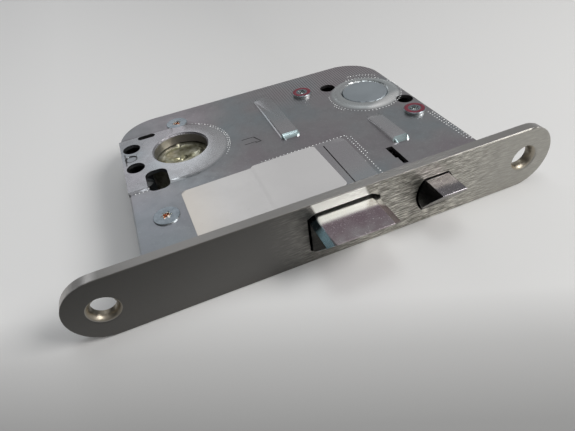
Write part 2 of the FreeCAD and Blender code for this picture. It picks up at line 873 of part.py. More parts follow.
def driver_slot(z0, z1):
    """A bow-tie slot: two sectors that meet in a round hole, so that a flat driver has some free turn."""
    half = math.radians(driver_slot_angle / 2)
    parts = [disc(cylinder_x, backset, z0, z1, driver_hole_r)]
    for side in (-1, 1):
        tip_x = cylinder_x + side * driver_slot_r
        reach = driver_slot_r * math.sin(half)
        corner_x = cylinder_x + side * driver_slot_r * math.cos(half)
        middle = Vector(cylinder_x, backset, z0)
        near = Vector(corner_x, backset - reach, z0)
        far = Vector(corner_x, backset + reach, z0)
        wire = Part.Wire([
            Part.LineSegment(middle, near).toShape(),
            Part.Arc(near, Vector(tip_x, backset, z0), far).toShape(),
            Part.LineSegment(far, middle).toShape(),
        ])
        parts.append(Part.Face(wire).extrude(Vector(0, 0, z1 - z0)))
    return joined(parts)


def cylinder_hub():
    """A hub that turns on the two collars, with a floor, a driver slot from each side and the arm."""
    seat_z = inner_z + zone_rise - collar_depth - slide_gap
    seat_r = cylinder_hole_r + collar_wall + running_gap
    hub = disc(cylinder_x, backset, -hub_half, hub_half, hub_r).fuse(arm(cylinder_x, hub_arm_reach, 1))
    slot = driver_slot(hub_floor_z - driver_slot_depth, hub_half)
    notch = disc(cylinder_x, backset + hub_bore_r, hub_floor_z, hub_half, hub_notch_r)
    front = [
        disc(cylinder_x, backset, seat_z, hub_half + 1, seat_r),
        disc(cylinder_x, backset, hub_floor_z, hub_half, hub_bore_r),
        slot,
        notch,
    ]
    for cutter in front:
        hub = hub.cut(cutter).cut(mirrored_z(cutter))
    return hub.removeSplitter()


def follower():
    """The handle follower: a ring on its collars with a square hole and an arm."""
    seat_z = inner_z + follower_rise - collar_depth - slide_gap
    seat_r = follower_hole_r + collar_wall + running_gap
    ring = disc(follower_x, backset, -follower_half, follower_half, follower_r)
    ring = ring.fuse(arm(follower_x, follower_arm_reach, -1))
    for z0, z1 in ((seat_z, follower_half + 1), (-follower_half - 1, -seat_z)):
        ring = ring.cut(disc(follower_x, backset, z0, z1, seat_r))
    s = follower_square / 2
    square = box(follower_x - s, follower_x + s, backset - s, backset + s, -outer_z, outer_z)
    return ring.cut(square).removeSplitter()


def cap():
    """A plug that closes the follower's collar: a thin disc over a body that fills the bore."""
    top = outer_z + follower_rise - cap_top_gap
    return revolved(follower_x, backset, [
        (0, top),
        (cap_r - cap_chamfer, top),
        (cap_r, top - cap_chamfer),
        (cap_r, top - cap_flange),
        (follower_hole_r, top - cap_flange),
        (follower_hole_r, top - cap_length),
        (0, top - cap_length),
        (0, top),
    ])


def deadlock_lever():
    """A flat lever with an eye, a nose beside the latch head and a pad on the trigger's ramp."""
    t = lever_half_thickness
    eye = disc(lever_x, lever_y, -t, t, lever_eye_r)
    shank = box(lever_x - lever_half_width, lever_x + lever_half_width,
                lever_y, lever_y + lever_length, -t, t)
    nose = box(lever_x - lever_nose_offset, lever_x,
               lever_y + lever_nose_low, lever_y + lever_nose_high, -t, t)
    pad_x = lever_x + lever_pad_offset
    pad_y = lever_y + lever_pad_height
    neck_half = lever_pad_r * lever_neck_share
    neck = box(lever_x, pad_x, pad_y - neck_half, pad_y + neck_half, -t, t)
    pad = disc(pad_x, pad_y, -t, t, lever_pad_r)
    bore = disc(lever_x, lever_y, -t - 1, t + 1, stud_r + running_gap)
    return joined([eye, shank, nose, neck, pad]).cut(bore)


def deadlock_stud():
    """A shouldered stud riveted through the floor, with a groove for its clip."""
    shoulder = disc(lever_x, lever_y, -inner_z, -lever_half_thickness - slide_gap, stud_shoulder_r)
    shaft = disc(lever_x, lever_y, -outer_z, inner_z - slide_gap, stud_r)
    return shoulder.fuse(shaft).removeSplitter()


def clip_z():
    return lever_half_thickness + slide_gap * 2 + lever_spring_wire * (lever_spring_turns + clip_turns_above)


def retaining_clip():
    """A split ring on the stud above the lever's spring."""
    z = clip_z()
    bore = disc(lever_x, lever_y, z - 1, z + 2, stud_r)
    ring = disc(lever_x, lever_y, z, z + clip_thickness, clip_r).cut(bore)
    split = box(lever_x - clip_half_split, lever_x + clip_half_split,
                lever_y - clip_r - 1, lever_y, z - 1, z + 2)
    return ring.cut(split)


def lever_spring():
    """A torsion spring round the stud, with one leg at the front wall and one along the lever."""
    pitch = lever_spring_wire * lever_spring_pitch_share
    w = lever_spring_wire / 2
    body = coil(lever_spring_mean_r, lever_spring_wire, pitch, lever_spring_turns)
    z = lever_half_thickness + slide_gap + w
    body.Placement = Placement(Vector(lever_x, lever_y, z), Rotation())
    x = lever_x + lever_spring_mean_r
    upper = z + pitch * lever_spring_turns
    low_leg = box(x - w, x + w, lever_y, lever_y + lever_spring_leg, z - w, z + w)
    high_leg = box(x - w, x + w, plate_thickness + sheet + spring_end_gap, lever_y, upper - w, upper + w)
    return body.fuse(low_leg).fuse(high_leg)


def inspection_label():
    """A blank paper label that climbs from the flat sheet onto the latch zone."""
    t = label_thickness
    foot = latch_x - latch_zone_left
    head = foot + zone_slope
    z0 = outer_z
    z1 = outer_z + zone_rise
    points = [
        (label_left - label_overhang, z0), (foot, z0), (head, z1), (label_right + label_overhang, z1),
        (label_right + label_overhang, z1 + t), (head - t, z1 + t), (foot - t, z0 + t),
        (label_left - label_overhang, z0 + t),
    ]
    strip = along_y(points, label_low - label_overhang, latch_zone_depth)
    outline = rounded_block(label_left, label_right, label_low, label_high, label_corner_r, z0 - 1, z1 + 1)
    outline.rotate(Vector(label_left, label_high, 0), Vector(0, 0, 1), label_turn)
    room = box(case_left, case_right,
               plate_thickness + label_edge_gap, latch_zone_depth - zone_slope - label_edge_gap,
               z0 - 1, z1 + 1)
    return strip.common(outline).common(room)


NODES = {
    "faceplate": faceplate,
    "case_tray": case_tray,
    "case_cover": case_cover,
    "spacer_posts": spacer_posts,
    "flat_head_screws": flat_head_screws,
    "pan_head_screws": pan_head_screws,
    "latch_head": latch_head,
    "latch_tail": latch_tail,
    "latch_pin": latch_pin,
    "latch_spring": latch_spring,
    "latch_guide": latch_guide,
    "trigger_bolt": trigger_bolt,
    "trigger_spring": trigger_spring,
    "trigger_guide": trigger_guide,
    "deadlock_lever": deadlock_lever,
    "deadlock_stud": deadlock_stud,
    "deadlock_spring": lever_spring,
    "retaining_clip": retaining_clip,
    "cylinder_hub": cylinder_hub,
    "follower": follower,
    "front_cap": cap,
    "rear_cap": lambda: mirrored_z(cap()),
    "inspection_label": inspection_label,
}


def main():
    os.makedirs("parts", exist_ok=True)
    for name, make in NODES.items():
        shape = make()
        shape.exportStep("parts/" + name + ".step")
        solids = shape.Solids
        print(name, "solids", len(solids), "valid", shape.isValid(), "volume", round(shape.Volume, 1))


main()
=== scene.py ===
import json
import math

import bpy
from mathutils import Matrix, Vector

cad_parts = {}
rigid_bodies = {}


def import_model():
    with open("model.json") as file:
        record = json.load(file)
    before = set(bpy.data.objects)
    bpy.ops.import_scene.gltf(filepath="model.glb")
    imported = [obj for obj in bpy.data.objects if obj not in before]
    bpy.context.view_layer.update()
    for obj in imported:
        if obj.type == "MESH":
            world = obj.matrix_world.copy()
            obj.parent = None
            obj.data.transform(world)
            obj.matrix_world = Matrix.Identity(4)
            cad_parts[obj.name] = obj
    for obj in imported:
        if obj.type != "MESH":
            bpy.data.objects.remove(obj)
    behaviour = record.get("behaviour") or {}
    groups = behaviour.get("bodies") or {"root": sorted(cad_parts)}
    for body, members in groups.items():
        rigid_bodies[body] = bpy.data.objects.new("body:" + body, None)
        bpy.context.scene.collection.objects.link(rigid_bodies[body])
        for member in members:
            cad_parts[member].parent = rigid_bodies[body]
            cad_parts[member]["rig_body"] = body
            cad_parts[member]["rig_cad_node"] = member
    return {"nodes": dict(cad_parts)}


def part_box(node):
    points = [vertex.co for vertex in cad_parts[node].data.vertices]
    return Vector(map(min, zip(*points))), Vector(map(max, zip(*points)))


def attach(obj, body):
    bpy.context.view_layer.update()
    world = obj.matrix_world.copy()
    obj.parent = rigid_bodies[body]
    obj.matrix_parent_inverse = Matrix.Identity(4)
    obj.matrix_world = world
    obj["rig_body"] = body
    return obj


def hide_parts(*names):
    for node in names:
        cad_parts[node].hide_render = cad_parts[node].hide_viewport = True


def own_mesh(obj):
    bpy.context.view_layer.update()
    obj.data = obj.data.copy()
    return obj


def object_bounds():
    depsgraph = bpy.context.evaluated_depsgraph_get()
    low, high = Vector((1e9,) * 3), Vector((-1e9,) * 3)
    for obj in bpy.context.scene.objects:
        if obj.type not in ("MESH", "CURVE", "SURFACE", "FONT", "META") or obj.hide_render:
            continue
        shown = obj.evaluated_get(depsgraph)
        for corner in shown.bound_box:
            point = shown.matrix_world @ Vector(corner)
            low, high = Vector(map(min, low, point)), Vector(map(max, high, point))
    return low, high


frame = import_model()
cad_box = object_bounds()

MM = 0.001

# The photograph's camera, in millimetres and degrees, in the lock's own frame
CAMERA_PLACE = (-34.5, -78.8, 81.0)
CAMERA_TURN = (48.455, 6.666, -21.363)
CAMERA_LENS = 27.706

# Sizes of the lock that the pieces below share, in millimetres
SHEET_TOP = 7.0
ZONE_TOP = 7.6
BACKSET = 50.0
PLATE_FRONT = 0.0
PLATE_HALF = 10.0
PLATE_SCREW_X = 61.0
SINK_R = 6.0
CYLINDER_X = -30.6
ZONE_R = 16.2
ZONE_SHIFT = -1.25
LATCH_ZONE_BACK = 28.6
LATCH_ZONE_RIGHT = 16.7
LATCH_ZONE_LEFT = -14.0
FOLLOWER_SKIRT_R = 12.3
LONG_RIB_X = 2.8
LONG_RIB_START = 36.0
TRIGGER_RIB_X = 30.6
TRIGGER_RIB_START = 16.4
RIB_FRONT = 1.9
RIB_END_R = 6.0
GROOVE_X = 8.95
PAN_R = 3.55
FLAT_R = 3.65
SHANK_R = 1.9
STAR_R = 1.9
STAR_WAIST = 1.15
STAR_DEPTH = 0.75
STAR_TAPER = 0.72
END_MARK_R = 1.85
END_MARK_INSET = 2.8
END_MARK_OFFSET = 1.3
LATCH_TRAVEL = 11.5
TRIGGER_TRAVEL = 7.8
DOT_R = 0.24
DOT_STEP = 1.2
EDGE_DOT_STEP = 1.15
# The case is thinner than the faceplate, so the lock lies a little tilted on its table
REST_TILT = 2.03


def colour(code):
    """An sRGB hex colour as Blender's linear values."""
    parts = []
    for k in (0, 2, 4):
        v = int(code[k:k + 2], 16) / 255
        parts.append(v / 12.92 if v <= 0.04045 else ((v + 0.055) / 1.055) ** 2.4)
    return (*parts, 1.0)


def node(tree, kind, sockets=None, stops=(), **settings):
    """Adds a node with its settings and links: a socket takes a value or another node's output."""
    made = tree.nodes.new(kind)
    for name, value in settings.items():
        setattr(made, name, value)
    for name, value in (sockets or {}).items():
        if isinstance(value, bpy.types.Node):
            value = value.outputs[0]
        if isinstance(value, bpy.types.NodeSocket):
            tree.links.new(value, made.inputs[name])
        else:
            made.inputs[name].default_value = value
    for k, (place, shade) in enumerate(stops):
        bar = made.color_ramp.elements
        if k >= len(bar):
            bar.new(1.0)
        bar[k].position = place
        bar[k].color = shade
    return made


def begun(name):
    """A new material, with the place on the object in millimetres and its three axes."""
    made = bpy.data.materials.new(name)
    made.use_nodes = True
    tree = made.node_tree
    tree.nodes.clear()
    coords = node(tree, "ShaderNodeTexCoord")
    at = node(tree, "ShaderNodeVectorMath", {0: coords.outputs["Object"], "Scale": 1 / MM}, operation="SCALE")
    axes = node(tree, "ShaderNodeSeparateXYZ", {0: at})
    return made, tree, at, axes.outputs


def finished(made, tree, sockets):
    """Ends a material with its shader."""
    shader = node(tree, "ShaderNodeBsdfPrincipled", sockets)
    node(tree, "ShaderNodeOutputMaterial", {"Surface": shader})
    return made


def zinc_sheet():
    """Zinc-plated pressed steel: satin grey that shifts from blue to mauve, with fine lines near the back."""
    made, tree, at, (x, y, z) = begun("zinc plated sheet steel")
    # Passivation tints drift over patches of about 25 mm
    drift = node(tree, "ShaderNodeTexNoise", {"Vector": at, "Scale": 1 / 25, "Detail": 2.0})
    tint = node(tree, "ShaderNodeValToRGB", {"Fac": drift}, stops=(
        (0.36, colour("9ba3a8")), (0.5, colour("a3a2a5")), (0.64, colour("a09a9f"))))
    # Smudges from handling, about 5 mm wide
    smudge = node(tree, "ShaderNodeTexNoise", {
        "Vector": at, "Scale": 1 / 5, "Detail": 5.0, "Roughness": 0.65})
    smudged = node(tree, "ShaderNodeMapRange", {
        "Value": smudge, "From Min": 0.42, "From Max": 0.68, "To Max": 0.4}, interpolation_type="SMOOTHSTEP")
    base = node(tree, "ShaderNodeMix", {
        0: smudged, 6: tint.outputs[0], 7: colour("8b8a8d")}, data_type="RGBA")
    # Crystals of the plating, drawn at 0.6 mm so that they show
    spangle = node(tree, "ShaderNodeTexNoise", {
        "Vector": at, "Scale": 1 / 0.6, "Detail": 3.0, "Roughness": 0.6})
    speck = node(tree, "ShaderNodeMapRange", {
        "Value": spangle, "From Min": 0.56, "From Max": 0.72, "To Max": 0.28},
        interpolation_type="SMOOTHSTEP")
    base = node(tree, "ShaderNodeMix", {0: speck, 6: base.outputs[2], 7: colour("c9ccd0")}, data_type="RGBA")
    # The left front is bluer, and the pressed pad round the cylinder is painted paler towards its front
    # right, as a painted highlight where its slopes catch the light
    blue = node(tree, "ShaderNodeMapRange", {
        "Value": x, "From Min": -46.0, "From Max": -20.0, "To Min": 0.55, "To Max": 0.0},
        interpolation_type="SMOOTHSTEP")
    front = node(tree, "ShaderNodeMapRange", {
        "Value": y, "From Min": 20.0, "From Max": 36.0, "To Min": 1.0, "To Max": 0.2},
        interpolation_type="SMOOTHSTEP")
    blue = node(tree, "ShaderNodeMath", {0: blue, 1: front}, operation="MULTIPLY")
    base = node(tree, "ShaderNodeMix", {0: blue, 6: base.outputs[2], 7: colour("9fabb3")}, data_type="RGBA")
    raised = node(tree, "ShaderNodeMapRange", {
        "Value": z, "From Min": SHEET_TOP + 0.1, "From Max": SHEET_TOP + 0.55})
    across = node(tree, "ShaderNodeMapRange", {
        "Value": x, "From Min": -44.0, "From Max": -20.0, "To Max": 0.85})
    towards = node(tree, "ShaderNodeMapRange", {
        "Value": y, "From Min": 40.0, "From Max": 66.0, "To Min": 1.0, "To Max": 0.25})
    pad = node(tree, "ShaderNodeMapRange", {
        "Value": x, "From Min": -14.0, "From Max": -12.0, "To Min": 1.0, "To Max": 0.42})
    pad_highlight = node(tree, "ShaderNodeMath", {0: across, 1: towards}, operation="MULTIPLY")
    pad_highlight = node(tree, "ShaderNodeMath", {0: pad_highlight, 1: pad}, operation="MULTIPLY")
    pad_highlight = node(tree, "ShaderNodeMath", {0: raised, 1: pad_highlight}, operation="MULTIPLY")
    base = node(tree, "ShaderNodeMix", {0: pad_highlight, 6: base.outputs[2], 7: colour("e0e1e4")}, data_type="RGBA")
    # The far left corner is painted darker, as painted shade
    back_left_shade = node(tree, "ShaderNodeMapRange", {"Value": y, "From Min": 44.0, "From Max": 66.0, "To Max": 0.7})
    corner = node(tree, "ShaderNodeMapRange", {"Value": x, "From Min": -26.0, "From Max": -46.0})
    back_left_shade = node(tree, "ShaderNodeMath", {0: back_left_shade, 1: corner}, operation="MULTIPLY")
    base = node(tree, "ShaderNodeMix", {0: back_left_shade, 6: base.outputs[2], 7: colour("7f8083")}, data_type="RGBA")
    # The follower's drawn crown is painted teal white as a painted reflection, with a painted highlight on
    # the side of the faceplate
    follower_x, follower_y = middle("front_cap").xy
    lean_x, lean_y = 0.35, -0.94
    away = node(tree, "ShaderNodeVectorMath", {
        0: at, 1: (follower_x, follower_y, SHEET_TOP)}, operation="DISTANCE")
    crown = node(tree, "ShaderNodeMapRange", {
        "Value": away.outputs["Value"], "From Min": FOLLOWER_SKIRT_R, "From Max": FOLLOWER_SKIRT_R - 1.0})
    crown_reflection = node(tree, "ShaderNodeMath", {0: crown, 1: 0.4}, operation="MULTIPLY")
    base = node(tree, "ShaderNodeMix", {0: crown_reflection, 6: base.outputs[2], 7: colour("d8e2e2")}, data_type="RGBA")
    crown_highlight = node(tree, "ShaderNodeVectorMath", {0: at, 1: (lean_x, lean_y, 0.0)}, operation="DOT_PRODUCT")
    start = lean_x * follower_x + lean_y * follower_y
    crown_highlight = node(tree, "ShaderNodeMapRange", {
        "Value": crown_highlight.outputs["Value"], "From Min": start + 7.5, "From Max": start + 10.0},
        interpolation_type="SMOOTHSTEP")
    crown_highlight = node(tree, "ShaderNodeMath", {0: crown_highlight, 1: crown}, operation="MULTIPLY")
    base = node(tree, "ShaderNodeMix", {0: crown_highlight, 6: base.outputs[2], 7: colour("fbfcfc")}, data_type="RGBA")
    # The ribs' steep front ends are painted teal down to their feet, a painted reflection of the bright light
    # above
    foot = node(tree, "ShaderNodeMapRange", {
        "Value": z, "From Min": SHEET_TOP + 0.12, "From Max": SHEET_TOP + 0.25})
    for rib_x, rib_y, film in (
        (LONG_RIB_X, LONG_RIB_START, "b4c6c8"),
        (TRIGGER_RIB_X, TRIGGER_RIB_START, "c6d8da"),
    ):
        away = node(tree, "ShaderNodeVectorMath", {0: at, 1: (rib_x, rib_y, SHEET_TOP)}, operation="DISTANCE")
        near = node(tree, "ShaderNodeMath", {0: away.outputs["Value"], 1: RIB_END_R}, operation="LESS_THAN")
        steep = node(tree, "ShaderNodeMapRange", {
            "Value": y, "From Min": rib_y + RIB_FRONT, "From Max": rib_y + RIB_FRONT + 0.3,
            "To Min": 0.95, "To Max": 0.0})
        near = node(tree, "ShaderNodeMath", {0: near, 1: foot}, operation="MULTIPLY")
        near = node(tree, "ShaderNodeMath", {0: near, 1: steep}, operation="MULTIPLY")
        base = node(tree, "ShaderNodeMix", {0: near, 6: base.outputs[2], 7: colour(film)}, data_type="RGBA")
    # Painted shade in the pressed groove beside the label
    groove_shade = node(tree, "ShaderNodeMath", {0: x, 1: GROOVE_X, 2: 0.6}, operation="COMPARE")
    inside = node(tree, "ShaderNodeMath", {0: z, 1: ZONE_TOP - 0.01}, operation="LESS_THAN")
    beside = node(tree, "ShaderNodeMath", {0: y, 1: LATCH_ZONE_BACK - 2.0}, operation="LESS_THAN")
    groove_shade = node(tree, "ShaderNodeMath", {0: groove_shade, 1: inside}, operation="MULTIPLY")
    groove_shade = node(tree, "ShaderNodeMath", {0: groove_shade, 1: beside}, operation="MULTIPLY")
    base = node(tree, "ShaderNodeMix", {0: groove_shade, 6: base.outputs[2], 7: colour("2e2d2e")}, data_type="RGBA")
    # Lines that the strip's rolls left, 0.95 mm apart and crossed every 1.4 mm, strongest at the back right
    wave = node(tree, "ShaderNodeMath", {0: x, 1: 2 * math.pi / 0.95}, operation="MULTIPLY")
    wave = node(tree, "ShaderNodeMath", {0: wave}, operation="SINE")
    cross = node(tree, "ShaderNodeMath", {0: y, 1: 2 * math.pi / 1.4}, operation="MULTIPLY")
    cross = node(tree, "ShaderNodeMath", {0: cross}, operation="SINE")
    cross = node(tree, "ShaderNodeMapRange", {"Value": cross, "From Min": -1.0, "To Min": 0.55})
    wave = node(tree, "ShaderNodeMath", {0: wave, 1: cross}, operation="MULTIPLY")
    back = node(tree, "ShaderNodeMapRange", {
        "Value": y, "From Min": 48.0, "From Max": 66.0}, interpolation_type="SMOOTHSTEP")
    right = node(tree, "ShaderNodeMapRange", {
        "Value": x, "From Min": -14.0, "From Max": 22.0}, interpolation_type="SMOOTHSTEP")
    flat = node(tree, "ShaderNodeMapRange", {
        "Value": z, "From Min": SHEET_TOP + 0.05, "From Max": SHEET_TOP + 0.3, "To Min": 1.0, "To Max": 0.0})
    over = node(tree, "ShaderNodeMapRange", {
        "Value": z, "From Min": SHEET_TOP - 0.7, "From Max": SHEET_TOP - 0.1})
    flat = node(tree, "ShaderNodeMath", {0: flat, 1: over}, operation="MULTIPLY")
    area = node(tree, "ShaderNodeMath", {0: back, 1: right}, operation="MULTIPLY")
    area = node(tree, "ShaderNodeMath", {0: area, 1: flat}, operation="MULTIPLY")
    lines = node(tree, "ShaderNodeMath", {0: wave, 1: area}, operation="MULTIPLY")
    crest = node(tree, "ShaderNodeMapRange", {
        "Value": lines, "From Min": 0.1, "From Max": 0.9, "To Max": 0.6})
    trough = node(tree, "ShaderNodeMapRange", {
        "Value": lines, "From Min": -0.1, "From Max": -0.9, "To Max": 0.65})
    base = node(tree, "ShaderNodeMix", {0: crest, 6: base.outputs[2], 7: colour("cfc9cc")}, data_type="RGBA")
    base = node(tree, "ShaderNodeMix", {0: trough, 6: base.outputs[2], 7: colour("6f6166")}, data_type="RGBA")
    grain = node(tree, "ShaderNodeBump", {"Height": spangle, "Strength": 0.22, "Distance": 0.06 * MM})
    ridges = node(tree, "ShaderNodeBump", {
        "Height": lines, "Strength": 0.5, "Distance": 0.04 * MM, "Normal": grain})
    gloss = node(tree, "ShaderNodeMapRange", {
        "Value": smudge, "From Min": 0.3, "From Max": 0.7, "To Min": 0.3, "To Max": 0.42})
    crisp = node(tree, "ShaderNodeMapRange", {"Value": raised, "To Min": 1.0, "To Max": 0.72})
    gloss = node(tree, "ShaderNodeMath", {0: gloss, 1: crisp}, operation="MULTIPLY")
    return finished(made, tree, {
        "Base Color": base.outputs[2], "Metallic": 1.0, "Roughness": gloss, "Normal": ridges})


def linished_strip():
    """Stainless strip, coarsely linished lengthwise: dark grey, with streaks that glitter by the bolts."""
    made, tree, at, (x, y, z) = begun("linished stainless steel")
    # Scratches of about 3 mm by 0.4 mm, coarser than the real grit so that they show
    along = node(tree, "ShaderNodeMapping", {"Vector": at, "Scale": (0.13, 1.0, 1.0)})
    streak = node(tree, "ShaderNodeTexNoise", {
        "Vector": along, "Scale": 1 / 0.42, "Detail": 6.0, "Roughness": 0.66})
    # Finer hair lines between them
    hair = node(tree, "ShaderNodeMapping", {"Vector": at, "Scale": (0.06, 1.0, 1.0)})
    hairline = node(tree, "ShaderNodeTexNoise", {"Vector": hair, "Scale": 1 / 0.16, "Detail": 2.0})
    rise = node(tree, "ShaderNodeMapRange", {
        "Value": x, "From Min": -26.0, "From Max": 18.0, "To Min": 0.1, "To Max": 1.0},
        interpolation_type="SMOOTHSTEP")
    fade = node(tree, "ShaderNodeMapRange", {
        "Value": x, "From Min": 26.0, "From Max": 54.0, "To Min": 1.0, "To Max": 0.12},
        interpolation_type="SMOOTHSTEP")
    coarse = node(tree, "ShaderNodeMath", {0: rise, 1: fade}, operation="MULTIPLY")
    tone = node(tree, "ShaderNodeValToRGB", {"Fac": streak}, stops=(
        (0.36, colour("66645d")), (0.5, colour("a5a29a")), (0.64, colour("eeebe2"))))
    # The left end is painted evenly dark, as painted shade
    dark_end_shade = node(tree, "ShaderNodeMapRange", {
        "Value": x, "From Min": -22.0, "From Max": 20.0, "To Min": 1.0, "To Max": 0.0},
        interpolation_type="SMOOTHSTEP")
    base = node(tree, "ShaderNodeMix", {0: dark_end_shade, 6: tone.outputs[0], 7: colour("656462")}, data_type="RGBA")
    calm = node(tree, "ShaderNodeMapRange", {
        "Value": x, "From Min": 30.0, "From Max": 56.0, "To Max": 0.85}, interpolation_type="SMOOTHSTEP")
    base = node(tree, "ShaderNodeMix", {0: calm, 6: base.outputs[2], 7: colour("a19f99")}, data_type="RGBA")
    # The corner between face and edge is duller
    corner = node(tree, "ShaderNodeMapRange", {
        "Value": z, "From Min": PLATE_HALF - 0.5, "From Max": PLATE_HALF - 0.25, "To Max": 0.75})
    base = node(tree, "ShaderNodeMix", {0: corner, 6: base.outputs[2], 7: colour("6c6a66")}, data_type="RGBA")
    # A bright patch above the latch's opening, where the bolt throws light back on the strip
    lean = node(tree, "ShaderNodeMath", {0: z, 1: 0.35}, operation="MULTIPLY")
    lean = node(tree, "ShaderNodeMath", {0: x, 1: lean}, operation="ADD")
    left = node(tree, "ShaderNodeMapRange", {"Value": lean, "From Min": -3.2, "From Max": -2.6})
    right = node(tree, "ShaderNodeMapRange", {
        "Value": lean, "From Min": 12.0, "From Max": 12.6, "To Min": 1.0, "To Max": 0.0})
    upper = node(tree, "ShaderNodeMapRange", {"Value": z, "From Min": 5.6, "From Max": 6.2})
    patch = node(tree, "ShaderNodeMath", {0: left, 1: right}, operation="MULTIPLY")
    patch = node(tree, "ShaderNodeMath", {0: patch, 1: upper}, operation="MULTIPLY")
    face = node(tree, "ShaderNodeMapRange", {
        "Value": y, "From Min": PLATE_FRONT + 0.05, "From Max": PLATE_FRONT + 0.2,
        "To Min": 1.0, "To Max": 0.0})
    patch = node(tree, "ShaderNodeMath", {0: patch, 1: face}, operation="MULTIPLY")
    base = node(tree, "ShaderNodeMix", {0: patch, 6: base.outputs[2], 7: colour("f2f2ec")}, data_type="RGBA")
    metal = node(tree, "ShaderNodeMapRange", {"Value": patch, "To Min": 1.0, "To Max": 0.2})
    # The cut edge is brighter and plain, and painted lighter round the rounded left end as a painted
    # highlight
    side = node(tree, "ShaderNodeMapRange", {
        "Value": y, "From Min": PLATE_FRONT + 0.12, "From Max": PLATE_FRONT + 0.4})
    end = node(tree, "ShaderNodeMapRange", {"Value": x, "From Min": -58.0, "From Max": -70.0})
    edge = node(tree, "ShaderNodeValToRGB", {"Fac": end}, stops=(
        (0.05, colour("a6a4a2")), (0.3, colour("f4f2f0")), (0.5, colour("eceae8")), (0.8, colour("c0bdba"))))
    base = node(tree, "ShaderNodeMix", {0: side, 6: base.outputs[2], 7: edge.outputs[0]}, data_type="RGBA")
    # The screw holes' countersinks are stained tan
    mirrored = node(tree, "ShaderNodeMath", {0: x}, operation="ABSOLUTE")
    sunk = node(tree, "ShaderNodeCombineXYZ", {"X": mirrored, "Y": y, "Z": z})
    sunk = node(tree, "ShaderNodeVectorMath", {
        0: sunk, 1: (PLATE_SCREW_X, PLATE_FRONT, 0.0)}, operation="DISTANCE")
    sunk = node(tree, "ShaderNodeMath", {0: sunk.outputs["Value"], 1: SINK_R}, operation="LESS_THAN")
    sunk = node(tree, "ShaderNodeMath", {0: sunk, 1: side}, operation="MULTIPLY")
    base = node(tree, "ShaderNodeMix", {0: sunk, 6: base.outputs[2], 7: colour("9c9588")}, data_type="RGBA")
    fine = node(tree, "ShaderNodeBump", {"Height": hairline, "Strength": 0.3, "Distance": 0.04 * MM})
    rough = node(tree, "ShaderNodeBump", {
        "Height": streak, "Strength": coarse, "Distance": 0.26 * MM, "Normal": fine})
    return finished(made, tree, {
        "Base Color": base.outputs[2], "Metallic": metal, "Roughness": 0.38, "Normal": rough})


def bright_nickel():
    """Nickel plate on the bolts: nearly a mirror, with fine pits and a mauve cast."""
    made, tree, at, (x, y, _) = begun("polished nickel plate")
    cloud = node(tree, "ShaderNodeTexNoise", {"Vector": at, "Scale": 1 / 4, "Detail": 4.0})
    tint = node(tree, "ShaderNodeValToRGB", {"Fac": cloud}, stops=(
        (0.4, colour("a89da1")), (0.6, colour("bbb7b9"))))
    # Pits of about 0.5 mm
    pits = node(tree, "ShaderNodeTexNoise", {"Vector": at, "Scale": 1 / 0.5, "Detail": 2.0})
    speck = node(tree, "ShaderNodeMapRange", {
        "Value": pits, "From Min": 0.62, "From Max": 0.72, "To Max": 0.6})
    # On the latch: painted white next to the faceplate, a painted reflection of the bright strip above, and
    # mauve from there outwards, partly a stain and partly a painted reflection
    latch = node(tree, "ShaderNodeMapRange", {
        "Value": x, "From Min": 15.0, "From Max": 20.0, "To Min": 1.0, "To Max": 0.0})
    root_reflection = node(tree, "ShaderNodeMapRange", {
        "Value": y, "From Min": -4.6, "From Max": -2.6}, interpolation_type="SMOOTHSTEP")
    root_reflection = node(tree, "ShaderNodeMath", {0: root_reflection, 1: latch}, operation="MULTIPLY")
    stain = node(tree, "ShaderNodeMapRange", {
        "Value": y, "From Min": -11.0, "From Max": -6.5, "To Min": 0.2, "To Max": 0.75},
        interpolation_type="SMOOTHSTEP")
    base = node(tree, "ShaderNodeMix", {0: stain, 6: tint.outputs[0], 7: colour("94808a")}, data_type="RGBA")
    grey = node(tree, "ShaderNodeMapRange", {"Value": latch, "To Min": 0.8, "To Max": 0.0})
    base = node(tree, "ShaderNodeMix", {0: grey, 6: base.outputs[2], 7: colour("87878a")}, data_type="RGBA")
    base = node(tree, "ShaderNodeMix", {0: root_reflection, 6: base.outputs[2], 7: colour("fafaf8")}, data_type="RGBA")
    # A painted blue reflection on the latch's left bevel, with painted shade where it ends short of the
    # faceplate
    bevel = node(tree, "ShaderNodeMapRange", {
        "Value": x, "From Min": -5.7, "From Max": -5.3, "To Min": 1.0, "To Max": 0.0})
    film = node(tree, "ShaderNodeMapRange", {"Value": y, "From Min": -4.6, "From Max": -3.8})
    film = node(tree, "ShaderNodeMix", {0: film, 6: colour("c6eefa"), 7: colour("55666e")}, data_type="RGBA")
    base = node(tree, "ShaderNodeMix", {0: bevel, 6: base.outputs[2], 7: film.outputs[2]}, data_type="RGBA")
    base = node(tree, "ShaderNodeMix", {0: speck, 6: base.outputs[2], 7: colour("ece9ea")}, data_type="RGBA")
    # The left ends are painted dark as painted shade, the trigger's over its whole curve
    ways = node(tree, "ShaderNodeTexCoord")
    facing = node(tree, "ShaderNodeSeparateXYZ", {0: ways.outputs["Normal"]})
    end = node(tree, "ShaderNodeMapRange", {"Value": facing, "From Min": -0.75, "From Max": -0.9})
    base = node(tree, "ShaderNodeMix", {0: end, 6: base.outputs[2], 7: colour("3c3e3f")}, data_type="RGBA")
    end = node(tree, "ShaderNodeMapRange", {"Value": facing, "From Min": -0.25, "From Max": -0.45})
    end = node(tree, "ShaderNodeMath", {0: end, 1: grey}, operation="MULTIPLY")
    base = node(tree, "ShaderNodeMix", {0: end, 6: base.outputs[2], 7: colour("101112")}, data_type="RGBA")
    gloss = node(tree, "ShaderNodeMapRange", {
        "Value": cloud, "From Min": 0.3, "From Max": 0.7, "To Min": 0.15, "To Max": 0.24})
    dimple = node(tree, "ShaderNodeBump", {"Height": pits, "Strength": 0.2, "Distance": 0.03 * MM})
    return finished(made, tree, {
        "Base Color": base.outputs[2], "Metallic": 1.0, "Roughness": gloss, "Normal": dimple})


